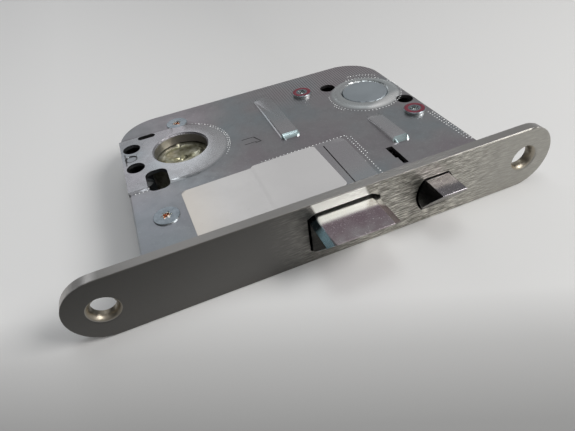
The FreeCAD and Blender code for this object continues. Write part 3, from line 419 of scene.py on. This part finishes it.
def burnished_highlit_zinc():
    """The tips of the press marks, which the tool burnished bright, and painted white as the highlight that
    their small domes catch.
    """
    made, tree, at, _ = begun("burnished zinc with painted highlight")
    cloud = node(tree, "ShaderNodeTexNoise", {"Vector": at, "Scale": 1 / 3, "Detail": 3.0})
    base = node(tree, "ShaderNodeValToRGB", {"Fac": cloud}, stops=(
        (0.38, colour("cfd2d4")), (0.6, colour("fafbfb"))))
    return finished(made, tree, {"Base Color": base, "Metallic": 0.5, "Roughness": 0.3})


def dull_brass():
    """Turned brass of the hub: olive, with cloudy stains."""
    made, tree, at, _ = begun("turned brass")
    cloud = node(tree, "ShaderNodeTexNoise", {"Vector": at, "Scale": 1 / 2.5, "Detail": 4.0})
    base = node(tree, "ShaderNodeValToRGB", {"Fac": cloud}, stops=(
        (0.35, colour("8a866c")), (0.5, colour("aeab94")), (0.66, colour("cfcdbc"))))
    grain = node(tree, "ShaderNodeTexNoise", {"Vector": at, "Scale": 1 / 0.4, "Detail": 3.0})
    marks = node(tree, "ShaderNodeBump", {"Height": grain, "Strength": 0.25, "Distance": 0.04 * MM})
    return finished(made, tree, {"Base Color": base, "Metallic": 1.0, "Roughness": 0.42, "Normal": marks})


def stamped_steel():
    """Bright stamped steel of the inner pieces, slightly oily."""
    made, tree, at, _ = begun("stamped mild steel")
    cloud = node(tree, "ShaderNodeTexNoise", {"Vector": at, "Scale": 1 / 6, "Detail": 4.0})
    base = node(tree, "ShaderNodeValToRGB", {"Fac": cloud}, stops=(
        (0.35, colour("7c7d80")), (0.65, colour("a2a3a8"))))
    oil = node(tree, "ShaderNodeMapRange", {
        "Value": cloud, "From Min": 0.3, "From Max": 0.7, "To Min": 0.25, "To Max": 0.42})
    grain = node(tree, "ShaderNodeTexNoise", {"Vector": at, "Scale": 1 / 0.5, "Detail": 3.0})
    marks = node(tree, "ShaderNodeBump", {"Height": grain, "Strength": 0.15, "Distance": 0.04 * MM})
    return finished(made, tree, {"Base Color": base, "Metallic": 1.0, "Roughness": oil, "Normal": marks})


def spring_wire():
    """Drawn spring wire: dark, with a drawing sheen."""
    made, tree, at, _ = begun("drawn spring steel")
    cloud = node(tree, "ShaderNodeTexNoise", {"Vector": at, "Scale": 1 / 1.6, "Detail": 3.0})
    base = node(tree, "ShaderNodeValToRGB", {"Fac": cloud}, stops=(
        (0.35, colour("6a6c70")), (0.65, colour("989ba0"))))
    sheen = node(tree, "ShaderNodeMapRange", {
        "Value": cloud, "From Min": 0.3, "From Max": 0.7, "To Min": 0.22, "To Max": 0.34})
    return finished(made, tree, {"Base Color": base, "Metallic": 1.0, "Roughness": sheen})


def blue_cap():
    """Blue passivated cap: an even satin face, bluer than the sheet round it."""
    made, tree, at, _ = begun("blue passivated steel")
    cloud = node(tree, "ShaderNodeTexNoise", {"Vector": at, "Scale": 1 / 7, "Detail": 3.0})
    base = node(tree, "ShaderNodeValToRGB", {"Fac": cloud}, stops=(
        (0.35, colour("939ba1")), (0.65, colour("9ca4aa"))))
    grain = node(tree, "ShaderNodeTexNoise", {"Vector": at, "Scale": 1 / 0.3, "Detail": 2.0})
    marks = node(tree, "ShaderNodeBump", {"Height": grain, "Strength": 0.08, "Distance": 0.03 * MM})
    return finished(made, tree, {"Base Color": base, "Metallic": 0.6, "Roughness": 0.42, "Normal": marks})


def film_label():
    """Matte polyester label film, blank, a little creamy at one corner and smudged towards the faceplate."""
    made, tree, at, (x, y, _) = begun("matte label film")
    cloud = node(tree, "ShaderNodeTexNoise", {"Vector": at, "Scale": 1 / 9, "Detail": 4.0, "Roughness": 0.6})
    tint = node(tree, "ShaderNodeValToRGB", {"Fac": cloud}, stops=(
        (0.35, colour("d0cfcf")), (0.7, colour("dad9d9"))))
    cream = node(tree, "ShaderNodeMapRange", {
        "Value": x, "From Min": -35.0, "From Max": -24.0, "To Min": 0.6, "To Max": 0.0})
    base = node(tree, "ShaderNodeMix", {0: cream, 6: tint.outputs[0], 7: colour("d9d1c6")}, data_type="RGBA")
    # Painted shade: darker towards the right
    shade = node(tree, "ShaderNodeMapRange", {
        "Value": x, "From Min": -32.0, "From Max": -6.0, "To Min": 0.0, "To Max": 0.85})
    base = node(tree, "ShaderNodeMix", {0: shade, 6: base.outputs[2], 7: colour("bfbebf")}, data_type="RGBA")
    # Grime in spots of about 1.6 mm, mostly towards the faceplate
    grime = node(tree, "ShaderNodeTexNoise", {
        "Vector": at, "Scale": 1 / 1.6, "Detail": 5.0, "Roughness": 0.7})
    spots = node(tree, "ShaderNodeMapRange", {
        "Value": grime, "From Min": 0.6, "From Max": 0.76, "To Max": 0.3})
    low = node(tree, "ShaderNodeMapRange", {
        "Value": y, "From Min": 5.0, "From Max": 14.0, "To Min": 1.0, "To Max": 0.15})
    spots = node(tree, "ShaderNodeMath", {0: spots, 1: low}, operation="MULTIPLY")
    base = node(tree, "ShaderNodeMix", {0: spots, 6: base.outputs[2], 7: colour("8f8c8a")}, data_type="RGBA")
    # The film follows the sheet in soft waves of about 3 mm
    wave = node(tree, "ShaderNodeTexNoise", {"Vector": at, "Scale": 1 / 3, "Detail": 2.0})
    soft = node(tree, "ShaderNodeBump", {"Height": wave, "Strength": 0.12, "Distance": 0.06 * MM})
    return finished(made, tree, {"Base Color": base.outputs[2], "Roughness": 0.44, "Normal": soft})


def screw_zinc():
    """Bright zinc-plated screw heads, with a copper stain low in the recess."""
    made, tree, at, (_, _, z) = begun("zinc plated screw")
    cloud = node(tree, "ShaderNodeTexNoise", {"Vector": at, "Scale": 1 / 1.4, "Detail": 4.0})
    tint = node(tree, "ShaderNodeValToRGB", {"Fac": cloud}, stops=(
        (0.35, colour("838c93")), (0.65, colour("959ea5"))))
    # The pan heads' sides and the flat heads' rims are painted bright as painted highlights
    side = node(tree, "ShaderNodeMapRange", {
        "Value": z, "From Min": SHEET_TOP + 0.62, "From Max": SHEET_TOP + 0.82, "To Min": 0.8, "To Max": 0.0})
    flush = node(tree, "ShaderNodeMapRange", {
        "Value": z, "From Min": SHEET_TOP + 0.4, "From Max": SHEET_TOP + 0.45})
    rim = node(tree, "ShaderNodeMapRange", {
        "Value": z, "From Min": SHEET_TOP + 0.22, "From Max": SHEET_TOP + 0.3, "To Min": 1.0, "To Max": 0.0})
    rim = node(tree, "ShaderNodeMath", {0: rim, 1: flush}, operation="MAXIMUM")
    side = node(tree, "ShaderNodeMath", {0: side, 1: rim}, operation="MULTIPLY")
    tint = node(tree, "ShaderNodeMix", {0: side, 6: tint.outputs[0], 7: colour("eef0ec")}, data_type="RGBA")
    deep = node(tree, "ShaderNodeMapRange", {
        "Value": z, "From Min": SHEET_TOP - 0.2, "From Max": SHEET_TOP, "To Min": 1.0, "To Max": 0.0})
    patch = node(tree, "ShaderNodeMapRange", {"Value": cloud, "From Min": 0.44, "From Max": 0.54})
    stain = node(tree, "ShaderNodeMath", {0: deep, 1: patch}, operation="MULTIPLY")
    base = node(tree, "ShaderNodeMix", {0: stain, 6: tint.outputs[2], 7: colour("bd8563")}, data_type="RGBA")
    grain = node(tree, "ShaderNodeTexNoise", {"Vector": at, "Scale": 1 / 0.35, "Detail": 3.0})
    marks = node(tree, "ShaderNodeBump", {"Height": grain, "Strength": 0.06, "Distance": 0.03 * MM})
    return finished(made, tree, {
        "Base Color": base.outputs[2], "Metallic": 1.0, "Roughness": 0.24, "Normal": marks})


def red_lacquer():
    """Dark red sealing lacquer, brushed on the pan heads."""
    made, tree, at, _ = begun("sealing lacquer")
    cloud = node(tree, "ShaderNodeTexNoise", {"Vector": at, "Scale": 1 / 0.9, "Detail": 4.0})
    base = node(tree, "ShaderNodeValToRGB", {"Fac": cloud}, stops=(
        (0.35, colour("5e1426")), (0.65, colour("7c2438"))))
    brush = node(tree, "ShaderNodeBump", {"Height": cloud, "Strength": 0.3, "Distance": 0.05 * MM})
    return finished(made, tree, {"Base Color": base, "Roughness": 0.34, "Normal": brush})


def engraving_and_shade_black():
    """The dark of a fine engraved line, and of the painted shade round the round press mark."""
    made, tree, at, _ = begun("engraved line and painted shade")
    cloud = node(tree, "ShaderNodeTexNoise", {"Vector": at, "Scale": 1 / 0.8, "Detail": 3.0})
    base = node(tree, "ShaderNodeValToRGB", {"Fac": cloud}, stops=(
        (0.35, colour("2c2b2c")), (0.65, colour("4b4a4b"))))
    return finished(made, tree, {"Base Color": base, "Metallic": 0.5, "Roughness": 0.5})


def pale_table():
    """The pale table, darker towards the viewer, where the room's light falls off."""
    made, tree, at, (x, _, _) = begun("pale table top")
    heading = math.radians(21.4)
    depth = node(tree, "ShaderNodeVectorMath", {
        0: at, 1: (math.sin(heading), math.cos(heading), 0.0)}, operation="DOT_PRODUCT")
    away = node(tree, "ShaderNodeMapRange", {
        "Value": depth.outputs["Value"], "From Min": -300.0, "From Max": 0.0})
    base = node(tree, "ShaderNodeValToRGB", {"Fac": away}, stops=(
        (0.1, colour("d0d0d0")), (0.55, colour("787878")), (0.74, colour("767676")),
        (0.843, colour("9a9a9a")), (0.9, colour("bebebe")), (0.947, colour("e0e0e0"))))
    # The table is paler away from the lamps, so that the light looks even
    lift = node(tree, "ShaderNodeMapRange", {
        "Value": x, "From Min": -75.0, "From Max": 30.0, "To Min": 1.2, "To Max": 0.98})
    base = node(tree, "ShaderNodeMix", {0: 1.0, 6: base, 7: lift}, data_type="RGBA", blend_type="MULTIPLY")
    return finished(made, tree, {"Base Color": base.outputs[2], "Roughness": 0.7})


def deselect():
    """Leaves nothing selected."""
    if bpy.context.mode != "OBJECT":
        bpy.ops.object.mode_set(mode="OBJECT")
    bpy.ops.object.select_all(action="DESELECT")


def only(piece):
    """Makes one piece the selected and active one."""
    deselect()
    piece.select_set(True)
    bpy.context.view_layer.objects.active = piece


def settled(piece):
    """Puts a piece's place into its mesh, with its object at the origin."""
    only(piece)
    bpy.ops.object.transform_apply(location=True, rotation=True, scale=True)
    return piece


def modified(piece, kind, **settings):
    """Applies one modifier to a piece."""
    only(piece)
    made = piece.modifiers.new(kind.title(), kind)
    for name, value in settings.items():
        setattr(made, name, value)
    bpy.ops.object.modifier_apply(modifier=made.name)


def picked(piece, faces):
    """Selects only these faces of a piece, in edit mode."""
    only(piece)
    for parts in (piece.data.vertices, piece.data.edges, piece.data.polygons):
        parts.foreach_set("select", [False] * len(parts))
    for face in faces:
        face.select = True
    bpy.ops.object.mode_set(mode="EDIT")
    bpy.ops.mesh.select_mode(type="FACE")


def smoothed(piece, angle):
    """Shades the curves smooth up to an angle in degrees, and keeps the faces along the axes flat."""
    picked(piece, [face for face in piece.data.polygons if max(abs(part) for part in face.normal) > 0.99999])
    bpy.ops.mesh.mod_weighted_strength(set=True, face_strength="STRONG")
    bpy.ops.object.mode_set(mode="OBJECT")
    bpy.ops.object.shade_smooth_by_angle(angle=math.radians(angle), keep_sharp_edges=False)
    modified(piece, "WEIGHTED_NORMAL", mode="FACE_AREA", weight=50, keep_sharp=True, use_face_influence=True)
    return piece


def joined(pieces, name):
    """Joins pieces into one mesh."""
    deselect()
    for piece in pieces:
        piece.select_set(True)
    bpy.context.view_layer.objects.active = pieces[0]
    if len(pieces) > 1:
        bpy.ops.object.join()
    pieces[0].name = name
    return pieces[0]


def copied(piece, offset=(0, 0, 0)):
    """A copy with its own mesh, moved by millimetres."""
    twin = piece.copy()
    twin.data = piece.data.copy()
    bpy.context.scene.collection.objects.link(twin)
    twin.location = Vector(offset) * MM
    return twin


def dressed(piece, look, body, slot, *nodes):
    """Gives a finished piece its material and body, and hides the CAD nodes that it stands for. The slot is
    not used.
    """
    piece.data.materials.clear()
    piece.data.materials.append(look)
    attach(piece, body)
    if nodes:
        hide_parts(*nodes)


def refined(name, look, body, slot, edge=0.0, curve=18.0):
    """A merged copy of a CAD node with smooth curves and, where asked, its sharp edges broken."""
    piece = frame["nodes"][name].copy()
    piece.data = frame["nodes"][name].data.copy()
    piece.parent = None
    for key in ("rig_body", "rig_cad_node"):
        if key in piece:
            del piece[key]
    bpy.context.scene.collection.objects.link(piece)
    piece.name = name + "_finished"
    only(piece)
    bpy.ops.object.mode_set(mode="EDIT")
    bpy.ops.mesh.select_all(action="SELECT")
    bpy.ops.mesh.remove_doubles(threshold=0.0005 * MM)
    if edge:
        bpy.ops.mesh.dissolve_limited(angle_limit=math.radians(0.2))
    bpy.ops.object.mode_set(mode="OBJECT")
    if edge:
        modified(piece, "BEVEL", width=edge * MM, segments=2, limit_method="ANGLE",
                 angle_limit=math.radians(32), use_clamp_overlap=False)
    smoothed(piece, curve)
    dressed(piece, look, body, slot, name)


def middle(name):
    """The middle of a node at rest, in millimetres."""
    low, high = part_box(name)
    return (Vector(low) + Vector(high)) / 2 / MM


def turned_disc(x, y, z0, z1, r, sides=72):
    """An upright cylinder, in millimetres."""
    deselect()
    bpy.ops.mesh.primitive_cylinder_add(vertices=sides, radius=r * MM, depth=(z1 - z0) * MM,
                                        location=Vector((x, y, (z0 + z1) / 2)) * MM)
    return settled(bpy.context.object)


def top_face(piece):
    """Selects the highest face of a mesh, in edit mode."""
    picked(piece, [max(piece.data.polygons, key=lambda f: f.center.z / MM + f.area / MM ** 2)])


def star_recess(piece, x, y, top):
    """Cuts a six-lobed recess with a tool made from a disc whose sides are drawn in between the lobes."""
    cutter = turned_disc(x, y, top - STAR_DEPTH, top + STAR_DEPTH, STAR_R)
    centre = Vector((x, y, 0)) * MM
    for v in cutter.data.vertices:
        turn = math.atan2(v.co.y - centre.y, v.co.x - centre.x)
        share = 0.5 + 0.5 * math.cos(6 * turn)
        reach = (STAR_WAIST + (STAR_R - STAR_WAIST) * share) * MM
        if v.co.z < top * MM:
            reach *= STAR_TAPER
        v.co.x = centre.x + reach * math.cos(turn)
        v.co.y = centre.y + reach * math.sin(turn)
    modified(piece, "BOOLEAN", object=cutter, operation="DIFFERENCE", solver="EXACT")
    bpy.data.objects.remove(cutter)


def pan_places():
    """The pan heads' axes: the back left and the front right corner of their node."""
    low, high = (Vector(p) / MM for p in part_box("pan_head_screws"))
    return (low.x + PAN_R, high.y - PAN_R), (high.x - PAN_R, low.y + PAN_R)


def flat_places():
    """The flat heads' axes: the front left and the back right corner of their node."""
    low, high = (Vector(p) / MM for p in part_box("flat_head_screws"))
    return (low.x + FLAT_R, low.y + FLAT_R), (high.x - FLAT_R, high.y - FLAT_R)


def pan_screws():
    """Two button heads with rounded rims and lobed recesses, on their shanks."""
    low, high = (Vector(p).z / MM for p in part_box("pan_head_screws"))
    rim = 0.32
    made = []
    for x, y in pan_places():
        head = turned_disc(x, y, SHEET_TOP, high, PAN_R)
        top_face(head)
        bpy.ops.mesh.bevel(offset=rim * MM, segments=4, affect="EDGES")
        star_recess(head, x, y, high)
        made += [head, turned_disc(x, y, low, SHEET_TOP - 0.01, SHANK_R, 32)]
    return smoothed(joined(made, "pan_screws"), 32)


def lacquer_rings():
    """A thin ring of lacquer on each pan head, from the recess to the rounded rim."""
    high = Vector(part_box("pan_head_screws")[1]).z / MM
    inner = STAR_R + 0.12
    outer = PAN_R - 0.3
    made = []
    for x, y in pan_places():
        deselect()
        bpy.ops.mesh.primitive_torus_add(major_segments=72, minor_segments=10,
                                         major_radius=(inner + outer) / 2 * MM,
                                         minor_radius=(outer - inner) / 2 * MM,
                                         location=Vector((x, y, high)) * MM)
        ring = bpy.context.object
        ring.scale.z = 0.07
        made.append(settled(ring))
    return smoothed(joined(made, "lacquer_rings"), 60)


def flat_screws():
    """Two flat heads that stand a little proud of the sheet, with lobed recesses, on their shanks."""
    low, high = (Vector(p).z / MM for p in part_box("flat_head_screws"))
    rim = 0.14
    cone_depth = FLAT_R - SHANK_R
    made = []
    for x, y in flat_places():
        head = turned_disc(x, y, SHEET_TOP - 0.05, high, FLAT_R)
        top_face(head)
        bpy.ops.mesh.bevel(offset=rim * MM, segments=3, affect="EDGES")
        deselect()
        bpy.ops.mesh.primitive_cone_add(vertices=72, radius1=SHANK_R * MM, radius2=(FLAT_R - 0.1) * MM,
                                        depth=cone_depth * MM,
                                        location=Vector((x, y, SHEET_TOP - cone_depth / 2)) * MM)
        cone = settled(bpy.context.object)
        modified(head, "BOOLEAN", object=cone, operation="UNION", solver="EXACT")
        bpy.data.objects.remove(cone)
        star_recess(head, x, y, high)
        made += [head, turned_disc(x, y, low, SHEET_TOP - cone_depth, SHANK_R, 32)]
    return smoothed(joined(made, "flat_screws"), 32)


def arc_places(x, y, r, start, end, step):
    """Points along an arc in degrees, a step apart."""
    count = max(1, round(math.radians(end - start) * r / step))
    angles = [math.radians(start + (end - start) * k / count) for k in range(count + 1)]
    return [(x + r * math.cos(a), y + r * math.sin(a)) for a in angles]


def row_places(x0, y0, x1, y1, step):
    """Points along a straight row, a step apart."""
    count = max(1, round(math.hypot(x1 - x0, y1 - y0) / step))
    return [(x0 + (x1 - x0) * k / count, y0 + (y1 - y0) * k / count) for k in range(count + 1)]


def press_dots():
    """Rows of small raised dots that the press leaves along the borders of the raised zones."""
    fx, fy = middle("front_cap").xy
    right = Vector(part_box("case_cover")[1]).x / MM
    zone_x = CYLINDER_X + ZONE_SHIFT
    zone_y = BACKSET + ZONE_SHIFT
    collar = FOLLOWER_SKIRT_R + 0.22
    beside = LATCH_ZONE_RIGHT + 0.9
    behind = LATCH_ZONE_BACK + 0.15
    places = []
    # Round the follower, with a second short row at the back and at the left
    for centre_y, r, start, end in (
        (fy, collar, -200, 20),
        (fy, collar, 38, 95),
        (fy + 1.6, FOLLOWER_SKIRT_R + 1.0, 42, 86),
        (fy, FOLLOWER_SKIRT_R + 1.1, -168, -150),
    ):
        places += arc_places(fx, centre_y, r, start, end, DOT_STEP)
    # Beside and behind the latch zone
    for x0, y0, x1, y1 in (
        (beside, LATCH_ZONE_BACK - 0.6, beside, 6.4),
        (beside + 1.1, LATCH_ZONE_BACK - 1.4, beside + 1.1, 17.0),
        (LATCH_ZONE_RIGHT + 0.5, behind, LATCH_ZONE_LEFT + 4, behind),
    ):
        places += row_places(x0, y0, x1, y1, DOT_STEP)
    # Round the cylinder's zone, and along its front border up to the window
    places += arc_places(zone_x, zone_y, ZONE_R + 0.7, -36, 62, DOT_STEP)
    places += arc_places(zone_x, zone_y, ZONE_R + 0.05, -24, 36, DOT_STEP)
    places += row_places(-48.2, 33.6, -43.4, 33.3, DOT_STEP)
    places += row_places(-47.4, 32.4, -44.0, 32.3, DOT_STEP)
    # Along the case's right edge
    places += row_places(right - 2.4, 27.2, right - 2.0, 9.0, EDGE_DOT_STEP)
    places += row_places(right - 1.3, 26.4, right - 1.0, 8.0, EDGE_DOT_STEP)
    deselect()
    bpy.ops.mesh.primitive_uv_sphere_add(segments=10, ring_count=6, radius=DOT_R * MM, location=(0, 0, 0))
    first = bpy.context.object
    first.scale.z = 0.75
    settled(first)
    bpy.ops.object.mode_set(mode="EDIT")
    bpy.ops.mesh.select_all(action="SELECT")
    bpy.ops.mesh.bisect(plane_co=(0, 0, -0.02 * MM), plane_no=(0, 0, 1), use_fill=True, clear_inner=True)
    bpy.ops.object.mode_set(mode="OBJECT")
    dots = [copied(first, (x, y, SHEET_TOP)) for x, y in places]
    bpy.data.objects.remove(first)
    piece = settled(joined(dots, "press_dots"))
    only(piece)
    bpy.ops.object.shade_smooth_by_angle(angle=math.radians(50))
    return piece


def stroke(x0, y0, x1, y1, width):
    """A thin engraved line with tapered ends, flush with the sheet."""
    deselect()
    length = math.hypot(x1 - x0, y1 - y0)
    bpy.ops.mesh.primitive_cube_add(size=1.0, location=Vector(((x0 + x1) / 2, (y0 + y1) / 2, SHEET_TOP)) * MM)
    line = bpy.context.object
    line.scale = Vector((length, width, 0.05)) * MM
    line.rotation_euler.z = math.atan2(y1 - y0, x1 - x0)
    settled(line)
    modified(line, "BEVEL", width=width * 0.4 * MM, segments=2, limit_method="ANGLE", use_clamp_overlap=True)
    return line


def arrow_mark():
    """The engraved arrow between the cylinder and the long rib: two lines and a head that points right."""
    left, bend, skew = -11.8, -7.8, 0.1
    back, front = 43.7, 40.6
    tip = (-6.3, 40.1)
    thin, bold = 0.3, 0.4
    made = [
        stroke(left, back, bend, back, thin),
        stroke(left + skew, front, bend + skew, front, thin),
        stroke(bend, back, *tip, bold),
        stroke(*tip, -8.2, 40.0, bold),
    ]
    return joined(made, "arrow_mark")


def ring_shade():
    """A dark ring of painted shade round the walls of the round press mark between the two end holes."""
    left = Vector(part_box("case_cover")[0]).x / MM
    place = Vector((left + END_MARK_INSET, BACKSET + END_MARK_OFFSET, ZONE_TOP))
    deselect()
    bpy.ops.mesh.primitive_torus_add(major_segments=48, minor_segments=8, major_radius=END_MARK_R * MM,
                                     minor_radius=0.14 * MM, location=place * MM)
    ring = bpy.context.object
    ring.name = "ring_shade"
    ring.scale.z = 0.25
    return smoothed(settled(ring), 60)


def coil_spring(name, x, wire, mean_r, turns, y0, y1):
    """A compression spring of round wire along Y, whose end turns lie close together."""
    deselect()
    bpy.ops.mesh.primitive_circle_add(vertices=10, radius=wire / 2 * MM, fill_type="NOTHING",
                                      location=Vector((mean_r, 0, 0)) * MM)
    piece = settled(bpy.context.object)
    pitch = (y1 - y0 - wire) / turns
    modified(piece, "SCREW", axis="Y", angle=2 * math.pi, screw_offset=pitch * MM, iterations=int(turns),
             steps=28, render_steps=28, use_merge_vertices=False)
    closed = 1.2
    tight = wire * 1.02
    loose = (y1 - y0 - wire - 2 * closed * tight) / (turns - 2 * closed)
    for v in piece.data.vertices:
        turn = v.co.y / MM / pitch
        lift = (min(turn, closed) + max(0.0, turn - (turns - closed))) * tight
        lift += max(0.0, min(turn, turns - closed) - closed) * loose
        v.co.y += (lift - turn * pitch) * MM
        v.co += Vector((x, y0 + wire / 2, 0)) * MM
    only(piece)
    bpy.ops.object.mode_set(mode="EDIT")
    bpy.ops.mesh.select_mode(type="VERT")
    bpy.ops.mesh.select_all(action="DESELECT")
    bpy.ops.mesh.select_non_manifold()
    bpy.ops.mesh.fill_holes(sides=0)
    bpy.ops.mesh.select_all(action="SELECT")
    bpy.ops.mesh.normals_make_consistent(inside=False)
    bpy.ops.object.mode_set(mode="OBJECT")
    piece.name = name
    only(piece)
    bpy.ops.object.shade_smooth_by_angle(angle=math.radians(50))
    return piece


def area_light(name, place, aim, size, brightness, shade):
    """A soft rectangular lamp at a place in millimetres, turned towards a point, of a face brightness."""
    lamp = bpy.data.lights.new(name, "AREA")
    lamp.shape = "RECTANGLE"
    lamp.size = size[0] * MM
    lamp.size_y = size[1] * MM
    lamp.energy = brightness * math.pi * lamp.size * lamp.size_y
    lamp.color = colour(shade)[:3]
    holder = bpy.data.objects.new(name, lamp)
    bpy.context.scene.collection.objects.link(holder)
    holder.location = Vector(place) * MM
    holder.rotation_euler = (Vector(aim) - Vector(place)).to_track_quat("-Z", "Y").to_euler()


def studio():
    """Table, lamps and a world that is pale at the horizon, dim behind the lock and bright overhead."""
    deselect()
    bpy.ops.mesh.primitive_plane_add(size=4.0)
    table = bpy.context.object
    table.name = "table"
    table.rotation_euler.x = math.radians(REST_TILT)
    table.location = Vector((0, 0, cad_box[0].z / MM - 0.05)) * MM
    settled(table)
    table.data.materials.append(pale_table())
    area_light("key", (370, -220, 400), (0, 20, 0), (250, 250), 10.2, "fffdfa")
    area_light("overhead", (20, 60, 620), (0, 30, 0), (220, 220), 2.9, "f8fdff")
    area_light("window", (-120, 560, 330), (-30, 40, 0), (300, 200), 0.8, "fafcff")
    area_light("low", (310, -420, 150), (20, 0, 0), (320, 220), 1.4, "fffdf8")
    world = bpy.data.worlds.new("studio")
    bpy.context.scene.world = world
    world.use_nodes = True
    tree = world.node_tree
    tree.nodes.clear()
    way = node(tree, "ShaderNodeTexCoord")
    rise = node(tree, "ShaderNodeSeparateXYZ", {0: way.outputs["Generated"]})
    glow = node(tree, "ShaderNodeValToRGB", {"Fac": rise.outputs["Z"]}, stops=(
        (0.0, colour("b4b4b4")), (0.2, colour("a4a4a4")), (0.45, colour("919191")),
        (0.7, colour("9b9b9b")), (0.95, colour("cccccc"))))
    # The room is brighter at the right, and darker towards the left and behind the viewer
    right = node(tree, "ShaderNodeMapRange", {
        "Value": rise.outputs["X"], "From Min": 0.0, "From Max": 0.4, "To Max": 0.16},
        interpolation_type="SMOOTHSTEP")
    lit = node(tree, "ShaderNodeMix", {0: right, 6: glow.outputs[0], 7: colour("e0e0e0")}, data_type="RGBA")
    left = node(tree, "ShaderNodeMapRange", {
        "Value": rise.outputs["X"], "From Min": -0.6, "From Max": 0.05, "To Min": 0.9, "To Max": 0.0},
        interpolation_type="SMOOTHSTEP")
    front = node(tree, "ShaderNodeMapRange", {
        "Value": rise.outputs["Y"], "From Min": -0.6, "From Max": 0.2, "To Min": 0.12, "To Max": 0.0},
        interpolation_type="SMOOTHSTEP")
    above = node(tree, "ShaderNodeMapRange", {
        "Value": rise.outputs["Z"], "From Min": 0.08, "From Max": 0.3}, interpolation_type="SMOOTHSTEP")
    side = node(tree, "ShaderNodeMath", {0: left, 1: front}, operation="MAXIMUM")
    side = node(tree, "ShaderNodeMath", {0: side, 1: above}, operation="MULTIPLY")
    dim = node(tree, "ShaderNodeMix", {0: side, 6: lit.outputs[2], 7: colour("2c2c2c")}, data_type="RGBA")
    back = node(tree, "ShaderNodeBackground", {"Color": dim.outputs[2], "Strength": 1.0})
    node(tree, "ShaderNodeOutputWorld", {"Surface": back})


def camera():
    """The photograph's view."""
    lens = bpy.data.cameras.new("photo camera")
    lens.lens = CAMERA_LENS
    lens.sensor_width = 36.0
    lens.clip_start = 0.005
    holder = bpy.data.objects.new("photo camera", lens)
    bpy.context.scene.collection.objects.link(holder)
    holder.location = Vector(CAMERA_PLACE) * MM
    holder.rotation_euler = [math.radians(a) for a in CAMERA_TURN]
    bpy.context.scene.camera = holder


zinc = zinc_sheet()
strip = linished_strip()
nickel = bright_nickel()
brass = dull_brass()
steel = stamped_steel()
wire = spring_wire()
cap_face = blue_cap()
film = film_label()
bright = screw_zinc()
lacquer = red_lacquer()
engraving_and_shade = engraving_and_shade_black()
burnished_highlit = burnished_highlit_zinc()

LOOKS = {
    "faceplate": strip, "case_tray": zinc, "case_cover": zinc, "spacer_posts": steel,
    "latch_head": nickel, "latch_tail": steel, "latch_pin": steel, "latch_spring": wire,
    "latch_guide": steel, "trigger_bolt": nickel, "trigger_spring": wire, "trigger_guide": steel,
    "deadlock_lever": steel, "deadlock_stud": steel, "deadlock_spring": wire, "retaining_clip": wire,
    "cylinder_hub": brass, "follower": steel, "front_cap": cap_face, "rear_cap": cap_face,
    "inspection_label": film, "flat_head_screws": bright, "pan_head_screws": bright,
}
for name, look in LOOKS.items():
    mesh = frame["nodes"][name].data
    mesh.materials.clear()
    mesh.materials.append(look)

for name, body, slot, edge in (
    ("case_cover", "case", "plated_case", 0.0),
    ("case_tray", "case", "plated_case", 0.0),
    ("latch_head", "latch", "bolt", 0.12),
    ("trigger_bolt", "trigger", "bolt", 0.1),
    ("cylinder_hub", "hub", "hub", 0.0),
    ("follower", "follower", "steel", 0.0),
    ("front_cap", "case", "cap", 0.0),
    ("rear_cap", "case", "cap", 0.0),
    ("spacer_posts", "case", "steel", 0.0),
    ("latch_pin", "latch", "steel", 0.0),
    ("deadlock_stud", "case", "steel", 0.0),
):
    refined(name, LOOKS[name], body, slot, edge)
refined("faceplate", strip, "case", "faceplate", curve=30.0)
refined("inspection_label", film, "case", "label", curve=50.0)

dressed(pan_screws(), bright, "case", "screw", "pan_head_screws")
dressed(flat_screws(), bright, "case", "screw", "flat_head_screws")
dressed(lacquer_rings(), lacquer, "case", "screw")
dressed(press_dots(), burnished_highlit, "case", "plated_case")
dressed(arrow_mark(), engraving_and_shade, "case", "plated_case")
# The dark ring is painted shade round the press mark
dressed(ring_shade(), engraving_and_shade, "case", "plated_case")

for name, joint, wire_d, mean_r, turns, travel in (
    ("latch_spring", "latch_slide", 0.9, 4.3, 7, LATCH_TRAVEL),
    ("trigger_spring", "trigger_slide", 0.7, 3.6, 7, TRIGGER_TRAVEL),
):
    low, high = (Vector(p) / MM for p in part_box(name))
    x = middle(name).x
    spring = coil_spring(name + "_wound", x, wire_d, mean_r, turns, low.y, high.y)
    dressed(spring, wire, "case", "spring", name)
    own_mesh(spring)

studio()
camera()
bpy.context.scene.view_settings.view_transform = "Standard"
